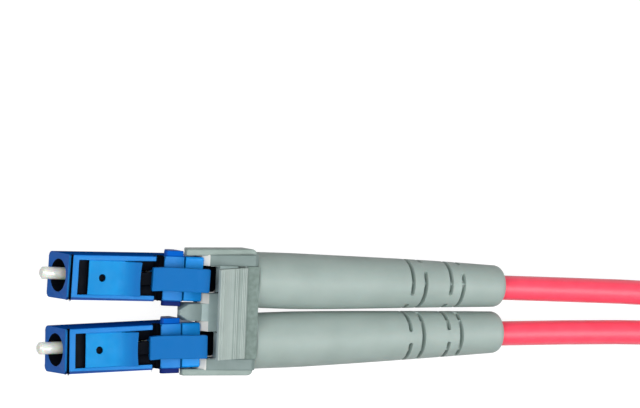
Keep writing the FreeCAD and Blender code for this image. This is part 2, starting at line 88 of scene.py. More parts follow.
def eased(way: np.ndarray) -> np.ndarray:
    """3t^2 - 2t^3 of the way t, which is held between 0 and 1."""
    t = np.clip(way, 0, 1)
    return t * t * (3 - 2 * t)


# --- Shader helpers ----------------------------------------------------------------------------------------
def from_hex(code: str) -> tuple[float, float, float, float]:
    """Turns a colour written in sRGB into the linear one that shaders use.

    Args:
        code: six hexadecimal digits.

    Returns:
        Linear red, green, blue and an alpha of 1.
    """
    channels = [int(code[i:i + 2], 16) / 255 for i in (0, 2, 4)]
    linear = [c / 12.92 if c <= 0.04045 else ((c + 0.055) / 1.055) ** 2.4 for c in channels]
    return (*linear, 1.0)


def add_node(tree: NodeTree, kind: str, settings: dict[str, Any] | None = None,
             inputs: dict[str | int, Any] | None = None) -> Node:
    """Adds one node with its settings, values and links.

    Args:
        tree: the node tree that it goes into.
        kind: the node's class name.
        settings: attributes to set on it.
        inputs: for each input, a value, or the output socket that is linked to it.

    Returns:
        The new node.
    """
    node = tree.nodes.new(kind)
    for name, value in (settings or {}).items():
        setattr(node, name, value)
    for name, value in (inputs or {}).items():
        if isinstance(value, NodeSocket):
            tree.links.new(value, node.inputs[name])
        else:
            node.inputs[name].default_value = value
    return node


def new_material(name: str) -> tuple[Material, NodeTree, Node]:
    """Makes an empty node material with its output.

    Args:
        name: what the finish is called.

    Returns:
        The material, its tree and its output node.
    """
    material = bpy.data.materials.new(name)
    material.use_nodes = True
    tree = material.node_tree
    tree.nodes.clear()
    return material, tree, add_node(tree, "ShaderNodeOutputMaterial")


def noise(tree: NodeTree, vector: NodeSocket, size_mm: float, detail: float = 2.0,
          roughness: float = 0.5) -> NodeSocket:
    """A noise pattern whose blobs measure about a given size.

    Args:
        tree: the material's tree.
        vector: coordinates in metres.
        size_mm: size of one blob.
        detail: octaves of finer noise.
        roughness: strength of the finer octaves.

    Returns:
        The pattern's value, from 0 to 1.
    """
    return add_node(tree, "ShaderNodeTexNoise", None, {
        "Vector": vector, "Scale": 1 / (size_mm * MM), "Detail": detail, "Roughness": roughness,
    }).outputs["Fac"]


def spread(tree: NodeTree, value: NodeSocket, low: float, high: float,
           start: float = 0.35, end: float = 0.65) -> NodeSocket:
    """Maps a pattern's middle range onto a new one, held at its ends.

    Args:
        tree: the material's tree.
        value: the pattern.
        low: result where the pattern is at start.
        high: result where the pattern is at end.
        start: the pattern's value that gives low.
        end: the pattern's value that gives high.

    Returns:
        The mapped value.
    """
    return add_node(tree, "ShaderNodeMapRange", {"clamp": True}, {
        "Value": value, "From Min": start, "From Max": end, "To Min": low, "To Max": high,
    }).outputs["Result"]


def combined(tree: NodeTree, operation: str, first: NodeSocket, second: NodeSocket | float) -> NodeSocket:
    """One step of arithmetic, with the operation's name in the node."""
    return add_node(tree, "ShaderNodeMath", {"operation": operation}, {0: first, 1: second}).outputs[0]


def blend_colours(tree: NodeTree, factor: NodeSocket, first: str | NodeSocket,
                  second: str) -> NodeSocket:
    """Mixes two colours by a pattern.

    Args:
        tree: the material's tree.
        factor: share of the second colour.
        first: hex colour or socket at 0.
        second: hex colour at 1.

    Returns:
        The mixed colour.
    """
    start = from_hex(first) if isinstance(first, str) else first
    mix = add_node(tree, "ShaderNodeMix", {"data_type": "RGBA"}, {0: factor, 6: start, 7: from_hex(second)})
    return mix.outputs[2]


def bumped(tree: NodeTree, height: NodeSocket, strength: float, depth_mm: float,
           under: NodeSocket | None = None) -> NodeSocket:
    """Tilts the surface's normal by a pattern of heights.

    Args:
        tree: the material's tree.
        height: the pattern.
        strength: share of the tilt that is used.
        depth_mm: height of the pattern at 1.
        under: a normal that is tilted further, or None for the surface's own.

    Returns:
        The tilted normal.
    """
    inputs = {"Height": height, "Strength": strength, "Distance": depth_mm * MM}
    if under is not None:
        inputs["Normal"] = under
    return add_node(tree, "ShaderNodeBump", None, inputs).outputs["Normal"]


# --- Finishes ----------------------------------------------------------------------------------------------
class Lines(Enum):
    """Which way a finish's fine parallel lines run, as the axis that they cross."""

    NONE = None
    ACROSS = "X"


# A wave texture of scale 1 repeats after this many metres.
WAVE_LENGTH = 0.314


@dataclass(frozen=True)
class Finish:
    """A surface: one principled shader, whose colour drifts between two sRGB hex codes."""

    name: str
    colour: str
    shade: str

    def inputs(self, tree: NodeTree, at: NodeOutputs) -> dict[str, Any]:
        """The shader's inputs, which each kind of finish gives.

        Args:
            tree: the material's tree.
            at: outputs of the coordinates' node, of which finishes use Object and UV.

        Returns:
            For each input, a value or the socket that is linked to it.
        """
        raise NotImplementedError

    def drift(self, tree: NodeTree, pattern: NodeSocket) -> NodeSocket:
        """The colour, mixed by the middle range of a pattern."""
        return blend_colours(tree, spread(tree, pattern, 0.0, 1.0), self.colour, self.shade)

    def material(self) -> Material:
        """Builds the shader.

        Returns:
            The material.
        """
        material, tree, output = new_material(self.name)
        at = add_node(tree, "ShaderNodeTexCoord").outputs
        shader = add_node(tree, "ShaderNodeBsdfPrincipled", None, self.inputs(tree, at))
        tree.links.new(shader.outputs[0], output.inputs[0])
        return material


@dataclass(frozen=True)
class MouldedPlastic(Finish):
    """Injection moulded thermoplastic: a satin skin with faint flow shades and a very fine grain.

    Its gloss varies a little over a few millimetres, where the melt cooled unevenly, and the eye reads the
    soft broken highlight as plastic. A fade is a painted shade: a third colour and where it starts and ends,
    in mm along U.
    """

    roughness: float
    ior: float = 1.54
    cloud_mm: float = 2.2
    grain_mm: float = 0.09
    grain_depth_mm: float = 0.0025
    lines: Lines = Lines.NONE
    line_mm: float = 0.32
    line_depth_mm: float = 0.01
    scatter: float = 0.0
    gloss_level: float = 0.3
    fade: tuple[str, float, float] | None = None

    def inputs(self, tree: NodeTree, at: NodeOutputs) -> dict[str, Any]:
        """The inputs of a satin skin, described in Finish."""
        place = at["Object"]
        colour = self.drift(tree, noise(tree, place, self.cloud_mm, 3.0))
        if self.fade:
            # A fade paints shade into the colour: it deepens along U, where the latch arm turns from the lamps
            # and along the nose's -Y edge.
            shade_tone, start, end = self.fade
            along = add_node(tree, "ShaderNodeSeparateXYZ", None, {0: at["UV"]}).outputs["X"]
            colour = blend_colours(tree, spread(tree, along, 0.0, 1.0, start * MM, end * MM), colour, shade_tone)
        finer = noise(tree, place, self.cloud_mm * 0.4)
        gloss = spread(tree, finer, self.roughness - 0.05, self.roughness + 0.07)
        normal = bumped(tree, noise(tree, place, self.grain_mm, 1.0), 0.5, self.grain_depth_mm)
        if self.lines is not Lines.NONE:
            waves = add_node(tree, "ShaderNodeTexWave", {"bands_direction": self.lines.value}, {
                "Vector": place, "Scale": WAVE_LENGTH / (self.line_mm * MM), "Distortion": 1.5, "Detail": 3.0,
                "Detail Scale": 1.5,
            })
            normal = bumped(tree, waves.outputs["Fac"], 0.6, self.line_depth_mm, normal)
        return {
            "Base Color": colour, "Roughness": gloss, "IOR": self.ior, "Normal": normal,
            "Subsurface Weight": self.scatter, "Subsurface Scale": 0.0004,
            "Specular IOR Level": self.gloss_level,
        }


@dataclass(frozen=True)
class GroundZirconia(Finish):
    """Centreless ground zirconia: dense white ceramic, slightly see-through, with a hard gloss."""

    roughness: float = 0.16
    ior: float = 2.1

    def inputs(self, tree: NodeTree, at: NodeOutputs) -> dict[str, Any]:
        """The inputs of a ground rod, described in Finish."""
        # Grinding marks run round the rod, so they are squeezed along X and stretched across it.
        marks = add_node(tree, "ShaderNodeMapping", None, {"Vector": at["Object"], "Scale": (14.0, 1.0, 1.0)})
        ground = noise(tree, marks.outputs["Vector"], 0.7, 2.0)
        return {
            "Base Color": self.drift(tree, noise(tree, at["Object"], 0.8)), "IOR": self.ior,
            "Roughness": spread(tree, ground, self.roughness, self.roughness + 0.1),
            "Normal": bumped(tree, ground, 0.25, 0.001), "Subsurface Weight": 0.35,
            "Subsurface Scale": 0.0003, "Specular IOR Level": 0.35,
        }


@dataclass(frozen=True)
class DrawnMetal(Finish):
    """Plain or plated metal with fine lines from drawing or turning, which break its highlight up."""

    roughness: float
    stretch: tuple[float, float, float] = (12.0, 1.0, 1.0)
    mark_mm: float = 0.9

    def inputs(self, tree: NodeTree, at: NodeOutputs) -> dict[str, Any]:
        """The inputs of a lined metal, described in Finish."""
        marks = add_node(tree, "ShaderNodeMapping", None, {"Vector": at["Object"], "Scale": self.stretch})
        drawn = noise(tree, marks.outputs["Vector"], self.mark_mm, 3.0)
        return {
            "Base Color": self.drift(tree, drawn), "Metallic": 1.0, "Normal": bumped(tree, drawn, 0.4, 0.002),
            "Roughness": spread(tree, drawn, self.roughness - 0.06, self.roughness + 0.1),
        }


@dataclass(frozen=True)
class ExtrudedJacket(Finish):
    """Extruded low smoke jacket: soft satin plastic with faint mottling and light just inside its edge."""

    roughness: float = 0.42
    ior: float = 1.5
    mottle_mm: float = 1.6
    skin_mm: float = 0.14

    def inputs(self, tree: NodeTree, at: NodeOutputs) -> dict[str, Any]:
        """The inputs of a soft jacket, described in Finish."""
        skin = noise(tree, at["Object"], self.skin_mm, 2.0)
        return {
            "Base Color": self.drift(tree, noise(tree, at["Object"], self.mottle_mm, 3.0)), "IOR": self.ior,
            "Roughness": spread(tree, skin, self.roughness - 0.04, self.roughness + 0.08),
            "Normal": bumped(tree, skin, 0.5, 0.005), "Subsurface Weight": 0.15, "Subsurface Scale": 0.0006,
            "Sheen Weight": 0.08, "Sheen Roughness": 0.4,
        }


@dataclass(frozen=True)
class WovenTape(Finish):
    """Woven hook and loop tape: dull yarn crossing under and over, with light catching single fibres."""

    yarn_mm: float = 0.45

    def inputs(self, tree: NodeTree, at: NodeOutputs) -> dict[str, Any]:
        """The inputs of a weave, described in Finish. Its shade is where either wave is low."""
        warp, weft = (add_node(tree, "ShaderNodeTexWave", {"bands_direction": axis}, {
            "Vector": at["UV"], "Scale": WAVE_LENGTH / (self.yarn_mm * MM)}).outputs["Fac"] for axis in "XY")
        weave = combined(tree, "MULTIPLY", warp, weft)
        return {
            "Base Color": blend_colours(tree, weave, self.shade, self.colour), "Roughness": 0.85,
            "Normal": bumped(tree, weave, 0.8, 0.06), "Sheen Weight": 0.3, "Sheen Roughness": 0.5,
        }


# The first ten names are the record's slots. The others are tones of one moulding's faces, most of them
# lit and shaded copies with painted shade and painted light.
FINISHES: dict[str, Finish] = {
    "blue_plastic": MouldedPlastic(
        "moulded_blue_pbt", "1690E4", "128ADC", 0.42, scatter=0.05, gloss_level=0.12),
    "grey_plastic": MouldedPlastic(
        "moulded_grey_abs", "A3B1AC", "9AA8A4", 0.42, grain_mm=0.12, grain_depth_mm=0.004,
        lines=Lines.ACROSS),
    "grey_rubber": MouldedPlastic(
        "moulded_grey_elastomer", "9BAAA5", "94A39E", 0.5, ior=1.5, cloud_mm=3.5, grain_mm=0.16,
        grain_depth_mm=0.006, scatter=0.05),
    "zirconia_ceramic": GroundZirconia("ground_zirconia", "EDF0E8", "E4E8DE"),
    "plated_brass": DrawnMetal("nickel_plated_brass", "C8C5BC", "B5B2A8", 0.25),
    "spring_steel": DrawnMetal("drawn_spring_steel", "B9BABB", "A2A4A6", 0.3, (1.0, 1.0, 1.0)),
    "crimp_metal": DrawnMetal("drawn_aluminium_sleeve", "CFCFCD", "C1C1BF", 0.35, (1.0, 9.0, 9.0)),
    "fibre_buffer": MouldedPlastic("extruded_fibre_buffer", "EDEBDF", "E4E2D5", 0.35, scatter=0.2),
    "cord_jacket": ExtrudedJacket("extruded_salmon_jacket", "FF5069", "FC4A64"),
    "tie_fabric": WovenTape("hook_and_loop_tape", "17181B", "2B2D31"),
    "blue_arm_painted_slope_shade": MouldedPlastic(
        "moulded_blue_pbt_arm_painted_slope_shade", "0A8ACE", "0682C6", 0.45, scatter=0.05, gloss_level=0.08,
        fade=("0667AE", -0.9, 1.1)),
    "blue_nose_painted_edge_shade": MouldedPlastic(
        "moulded_blue_pbt_nose_painted_edge_shade", "1C7ECC", "1878C4", 0.42, scatter=0.05, gloss_level=0.12,
        fade=("053E84", -2.16, -2.26)),
    "blue_painted_flange_shade": MouldedPlastic("moulded_blue_pbt_flange_painted_shade", "0F4CA8", "0D4698", 0.5, gloss_level=0.05),
    "blue_shaded": MouldedPlastic("moulded_blue_pbt_shaded", "10246A", "0E2060", 0.5, gloss_level=0.05),
    "blue_painted_front_shade": MouldedPlastic("moulded_blue_pbt_painted_front_shade", "2E68BE", "2A62B6", 0.5, gloss_level=0.05),
    "blue_painted_shading": MouldedPlastic("moulded_blue_pbt_painted_shading", "0A5CBC", "0856B2", 0.55, gloss_level=0.0),
    # Painted shade: near-black blue for the recesses, the dimple, the latch's neck and the rear body's hidden
    # part.
    "blue_painted_recess_shade": MouldedPlastic("moulded_blue_pbt_painted_recess_shade", "050B16", "040810", 0.7, gloss_level=0.08),
    "grey_dull_painted_shade": MouldedPlastic("moulded_grey_abs_dull_painted_shade", "93A29D", "8B9A95", 0.5, lines=Lines.ACROSS),
    "grey_shaded": MouldedPlastic("moulded_grey_abs_painted_shade", "91A3A1", "899B99", 0.5, grain_depth_mm=0.004),
    "grey_rough": MouldedPlastic(
        "moulded_grey_abs_eroded", "788983", "697A74", 0.65, cloud_mm=0.5, grain_mm=0.2, grain_depth_mm=0.03),
    # Painted light: a lighter grey for the floor and strips under the bar.
    "grey_painted_light_floor": MouldedPlastic("moulded_grey_abs_floor_painted_light", "BACFCC", "B2C7C4", 0.5),
    "grey_painted_rim_shade": MouldedPlastic("moulded_grey_abs_rim_painted_shade", "8D9D98", "85958F", 0.5),
    "grey_painted_band_shade": MouldedPlastic("moulded_grey_abs_band_painted_shade", "778886", "70817E", 0.5),
    "grey_lit_edge": MouldedPlastic("moulded_grey_abs_painted_highlight_edge", "F0EFE8", "E6E5DC", 0.5),
    "grey_painted_recess_shade": MouldedPlastic("moulded_grey_abs_painted_recess_shade", "0C1216", "080C10", 0.7),
}


class Finishes:
    """Every finish of the connector, each built once and given out by its name."""

    def __init__(self) -> None:
        """Builds the materials."""
        self.by_name = {name: finish.material() for name, finish in FINISHES.items()}

    def dress(self, piece: Object, slot: str, *others: str) -> None:
        """Gives a piece the finish of a slot, and others for the faces with a higher material index.

        Args:
            piece: a mesh or curve object.
            slot: the record's name of the material slot.
            others: the finishes of material index 1 and on.
        """
        piece.data.materials.clear()
        for name in (slot, *others):
            piece.data.materials.append(self.by_name[name])


# --- Mesh helpers ------------------------------------------------------------------------------------------
def read(items: bpy_prop_collection, name: str, width: int = 3, kind: type = np.float32) -> np.ndarray:
    """Reads a property of all the points, corners or faces of a mesh.

    Args:
        items: the mesh's vertices, loops or polygons.
        name: the property.
        width: how many numbers it has.
        kind: the numbers' type.

    Returns:
        Array of items by width.
    """
    values = np.empty(len(items) * width, kind)
    items.foreach_get(name, values)
    return values.reshape(-1, width)


def write(items: bpy_prop_collection, name: str, values: np.ndarray, kind: type = np.float32) -> None:
    """Writes a property of all the points, corners or faces of a mesh, with read's arguments."""
    items.foreach_set(name, np.asarray(values).astype(kind).ravel())


def add_uv(mesh: Mesh, name: str, values: np.ndarray) -> None:
    """Adds a UV layer from one pair of values for each point."""
    corners = read(mesh.loops, "vertex_index", 1, np.int32).ravel()
    write(mesh.uv_layers.new(name=name).data, "uv", values.reshape(-1, 2)[corners])


def object_from_faces(name: str, points: np.ndarray, corners: np.ndarray, starts: np.ndarray,
                      uv: np.ndarray | None = None) -> Object:
    """Makes a mesh from points and faces.

    Args:
        name: the object's name.
        points: array that ends in 3, in metres.
        corners: each face's point numbers, one face after another.
        starts: where each face starts in them.
        uv: a pair of values for each point, or None.

    Returns:
        The linked object.
    """
    mesh = bpy.data.meshes.new(name)
    mesh.vertices.add(points.size // 3)
    mesh.loops.add(len(corners))
    mesh.polygons.add(len(starts))
    write(mesh.vertices, "co", points)
    write(mesh.loops, "vertex_index", corners, np.int32)
    write(mesh.polygons, "loop_start", starts, np.int32)
    if uv is not None:
        add_uv(mesh, "surface", uv)
    return linked(name, mesh)


def quads_of(grid: np.ndarray, closed_rows: bool = False,
             closed_columns: bool = True) -> tuple[np.ndarray, bool]:
    """The faces between the points of a grid, turned outwards.

    The first index counts rows and the second columns. The faces' winding is reversed where the signed
    volume is negative: a sixth of the sum of each face's corner times the cross product of the next two.

    Args:
        grid: array of rows by columns by 3.
        closed_rows: whether the last row joins the first.
        closed_columns: whether the last column joins the first.

    Returns:
        Array of faces by 4 point numbers, and whether the winding was reversed.
    """
    rows, columns = grid.shape[:2]
    r = np.arange(rows if closed_rows else rows - 1)[:, None]
    c = np.arange(columns if closed_columns else columns - 1)[None, :]
    row, row_after, c_after = r * columns, (r + 1) % rows * columns, (c + 1) % columns
    quads = np.stack([row + c, row + c_after, row_after + c_after, row_after + c], -1).reshape(-1, 4)
    flat = grid.reshape(-1, 3)
    corner = flat[quads] - flat.mean(0)
    volume = sum(np.einsum("ij,ij->", corner[:, 0], np.cross(corner[:, k], corner[:, k + 1])) for k in (1, 2))
    return (quads[:, ::-1], True) if volume < 0 else (quads, False)


def object_from_grid(name: str, points: np.ndarray, closed_rows: bool = False, closed_columns: bool = True,
                     uv: np.ndarray | None = None) -> Object:
    """Makes a mesh of one grid's quads.

    Args:
        name: the object's name.
        points: array of rows by columns by 3, in metres.
        closed_rows: whether the last row joins the first.
        closed_columns: whether the last column joins the first.
        uv: array of rows by columns by 2, or None.

    Returns:
        The linked object.
    """
    quads, _ = quads_of(points, closed_rows, closed_columns)
    return object_from_faces(name, points, quads.ravel(), np.arange(0, quads.size, 4), uv)


def object_from_shells(name: str, shells: Sequence[tuple[np.ndarray, int]]) -> tuple[Object, np.ndarray]:
    """Makes one mesh of several closed shells, each a grid with one face over its first and its last row.

    Args:
        name: the object's name.
        shells: each shell's grid, rows by columns by 3 in metres, and its faces' material index.

    Returns:
        The linked object and each face's material index, which is set once the piece has its materials.
    """
    points, loops, starts, indices, first, used = [], [], [], [], 0, 0
    for grid, index in shells:
        rows, columns = grid.shape[:2]
        quads, turned_over = quads_of(grid)
        caps = [np.arange(columns)[::-1], (rows - 1) * columns + np.arange(columns)]
        if turned_over:
            caps = [cap[::-1] for cap in caps]
        points.append(grid.reshape(-1, 3))
        loops += [quads.ravel() + first, caps[0] + first, caps[1] + first]
        starts += [used + np.arange(0, quads.size, 4), [used + quads.size, used + quads.size + columns]]
        indices.append(np.full(len(quads) + 2, index))
        first, used = first + rows * columns, used + quads.size + 2 * columns
    piece = object_from_faces(name, np.concatenate(points), np.concatenate(loops), np.concatenate(starts))
    return piece, np.concatenate(indices)


def rounded_outline(corners: Sequence[tuple[float, float, float]], step: float = 0.3) -> np.ndarray:
    """A closed outline from corners that are each rounded by a tangent arc.

    Args:
        corners: x, y and radius of each, in order.
        step: longest straight stretch between two points.

    Returns:
        Array of points by 2.
    """
    points = []
    places = np.array([corner[:2] for corner in corners])
    for index, (x, y, radius) in enumerate(corners):
        here = places[index]
        before, after = places[index - 1] - here, places[(index + 1) % len(corners)] - here
        before, after = before / np.linalg.norm(before), after / np.linalg.norm(after)
        if radius:
            half_angle = math.acos(np.clip(before @ after, -1, 1)) / 2
            middle = (before + after) / np.linalg.norm(before + after) * radius / math.sin(half_angle)
            sides = [way * radius / math.tan(half_angle) - middle for way in (before, after)]
            first, last = (math.atan2(*side[::-1]) for side in sides)
            turn = (last - first + math.pi) % (2 * math.pi) - math.pi
            angle = first + turn * np.linspace(0, 1, 7)
            points.append(here + middle + radius * np.stack([np.cos(angle), np.sin(angle)], -1))
        else:
            points.append(here[None])
    closed = np.concatenate(points + [points[0][:1]])
    gaps = np.linalg.norm(np.diff(closed, axis=0), axis=1)
    stretches = [np.linspace(closed[k], closed[k + 1], max(1, math.ceil(gap / step)), endpoint=False)
                 for k, gap in enumerate(gaps)]
    return np.concatenate(stretches)


def slab(outline: np.ndarray, low: float | np.ndarray, high: float | np.ndarray, edge: float) -> np.ndarray:
    """A flat piece of an outline's shape, between two heights, with both rims rounded.

    On a rim the outline moves inwards by edge times 1 - sine of an angle, while its height is edge times 1 -
    cosine from the face.

    Args:
        outline: closed, points by 2.
        low: height of the lower face, or one for each point.
        high: height of the upper face, or one for each point.
        edge: radius of the rims.

    Returns:
        Rows by points by 3: the outline's two values and the height.
    """
    ahead, behind = np.roll(outline, -1, 0) - outline, outline - np.roll(outline, 1, 0)
    ahead = ahead / np.linalg.norm(ahead, axis=1)[:, None]
    behind = behind / np.linalg.norm(behind, axis=1)[:, None]
    area = np.sum(outline[:, 0] * np.roll(outline[:, 1], -1) - outline[:, 1] * np.roll(outline[:, 0], -1))
    way = ahead + behind
    outwards = np.stack([way[:, 1], -way[:, 0]], -1) * np.sign(area)
    # A mitred corner moves further than its sides do.
    outwards = outwards * 2 / np.maximum(np.sum(way * way, 1), 0.5)[:, None]
    angles = np.radians(np.linspace(0, 90, 5))
    rows = [(edge * (1 - math.sin(a)), low + edge * (1 - math.cos(a))) for a in angles]
    rows += [(edge * (1 - math.cos(a)), high - edge * (1 - math.sin(a))) for a in angles]
    flat = np.zeros((len(outline), 1))
    return np.stack([np.concatenate([outline - outwards * inset, flat + np.reshape(height, (-1, 1))], 1)
                     for inset, height in rows])


def placed(name: str, data: ID) -> Object:
    """Links a new object that holds a mesh, curve, lamp or camera."""
    piece = bpy.data.objects.new(name, data)
    bpy.context.scene.collection.objects.link(piece)
    return piece


def linked(name: str, mesh: Mesh) -> Object:
    """Checks a mesh, smooths its gentle edges and links an object that holds it.

    Args:
        name: the object's name.
        mesh: its mesh, in metres in the row's frame.

    Returns:
        The object.
    """
    mesh.update(calc_edges=True)
    mesh.validate()
    mesh.shade_smooth()
    mesh.set_sharp_from_angle(angle=SHARP_EDGE)
    return placed(name, mesh)


def weld(mesh: Mesh, gap_mm: float = 0.0005, slivers: bool = True, flat: bool = False) -> None:
    """Merges the points of a mesh that fall together, such as a pole's.

    Args:
        mesh: the mesh.
        gap_mm: points nearer than this become one.
        slivers: whether faces without area are dropped.
        flat: whether triangles that lie in one plane are joined.
    """
    work = bmesh.new()
    work.from_mesh(mesh)
    bmesh.ops.remove_doubles(work, verts=work.verts, dist=gap_mm * MM)
    if slivers:
        bmesh.ops.dissolve_degenerate(work, dist=gap_mm * MM, edges=work.edges)
    if flat:
        bmesh.ops.join_triangles(work, faces=work.faces, angle_face_threshold=math.radians(0.5),
                                 angle_shape_threshold=math.radians(180))
    work.to_mesh(mesh)
    work.free()


def softened_copy(node: str, name: str, edge_mm: float,
                  reshape: Callable[[np.ndarray], np.ndarray] | None = None) -> Object:
    """Copies a CAD node's mesh, joins its loose triangles and rounds its edges as a mould does.

    Args:
        node: the CAD node.
        name: the new object's name.
        edge_mm: width of the rounded edge.
        reshape: moves the points, as an array of points by 3, before the edges are rounded.

    Returns:
        The new object, which replaces the node.
    """
    mesh = frame["nodes"][node].data.copy()
    mesh.name = name
    if reshape:
        write(mesh.vertices, "co", reshape(read(mesh.vertices, "co")))
    weld(mesh, 0.002, flat=True)
    piece = linked(name, mesh)
    bevel = piece.modifiers.new("mould_edges", "BEVEL")
    settings = {"width": edge_mm * MM, "segments": 2, "limit_method": "ANGLE", "angle_limit": SHARP_EDGE,
                "use_clamp_overlap": False, "harden_normals": True, "miter_outer": "MITER_ARC"}
    for setting, value in settings.items():
        setattr(bevel, setting, value)
    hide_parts(node)
    return piece


@dataclass(frozen=True)
class PlugFrame:
    """A plug's own frame in the row: x in millimetres from the nose's face towards the cord, z up."""

    side: Side
    origin: tuple[float, float, float]
    forward: tuple[float, float, float]

    @classmethod
    def of(cls, side: Side) -> "PlugFrame":
        """Reads the frame from the record's mount on that plug.

        Args:
            side: which plug.

        Returns:
            The frame.
        """
        mount = next(m for m in frame["record"]["mounts"] if m["name"] == f"plug_{side.value}")
        return cls(side, tuple(mount["pos_m"]), tuple(mount["axis"]))

    @property
    def axes(self) -> np.ndarray:
        """The plug's x, y and z as three rows of the row's frame."""
        along, up = -np.array(self.forward), np.array([0.0, 0.0, 1.0])
        return np.stack([along, np.cross(up, along), up])

    def local(self, points: np.ndarray) -> np.ndarray:
        """Moves points from the row's frame to the plug's, the reverse of place.

        Args:
            points: array that ends in 3, in metres.

        Returns:
            The same array in millimetres.
        """
        return (points - np.array(self.origin)) @ self.axes.T / MM

    def place(self, points: np.ndarray) -> np.ndarray:
        """Moves points from the plug's frame to the row's: origin + x along the plug + y across it + z up.

        Args:
            points: array that ends in 3, in millimetres.

        Returns:
            The same array in metres.
        """
        return np.array(self.origin) + MM * (points @ self.axes)


def drawn_together(rows: np.ndarray) -> np.ndarray:
    """Adds a first and a last row in which the end rows' points are all at their middle, to close a grid."""
    first, last = (row.mean(1, keepdims=True).repeat(rows.shape[1], 1) for row in (rows[:1], rows[-1:]))
    return np.concatenate([first, rows, last])


def turned(profile: np.ndarray, angles: np.ndarray) -> np.ndarray:
    """Points of a turned surface: y = radius times cosine, z = radius times sine of the angle.

    Args:
        profile: x and radius of each row, rows by 2 or rows by columns by 2, in millimetres.
        angles: one for each column, in radians.

    Returns:
        Rows by columns by 3, in the plug's frame.
    """
    if profile.ndim == 2:
        profile = np.repeat(profile[:, None], len(angles), 1)
    x, radius = profile[..., 0], profile[..., 1]
    return np.stack([x, radius * np.cos(angles), radius * np.sin(angles)], -1)


def arc(centre: tuple[float, float], radius: float, start: float, end: float, count: int) -> np.ndarray:
    """Points on a circle's arc: centre + radius times (cosine, sine).

    Args:
        centre: the circle's middle.
        radius: its radius.
        start: first angle in degrees.
        end: last angle in degrees.
        count: number of points.

    Returns:
        Array of count by 2.
    """
    angle = np.radians(np.linspace(start, end, count))
    return np.array(centre) + radius * np.stack([np.cos(angle), np.sin(angle)], -1)


def paint_shade_on_faces(piece: Object, inside: Callable[[np.ndarray], np.ndarray], rest: int = 0) -> None:
    """Gives material index 1, a painted shade, to the faces whose middle a test finds inside a recess or
    shaded zone.

    Args:
        piece: the mesh object.
        inside: takes the faces' middles in metres, and says of each whether it is in a recess.
        rest: the other faces' material index.
    """
    index = np.where(inside(read(piece.data.polygons, "center")), 1, rest)
    write(piece.data.polygons, "material_index", index, np.int32)


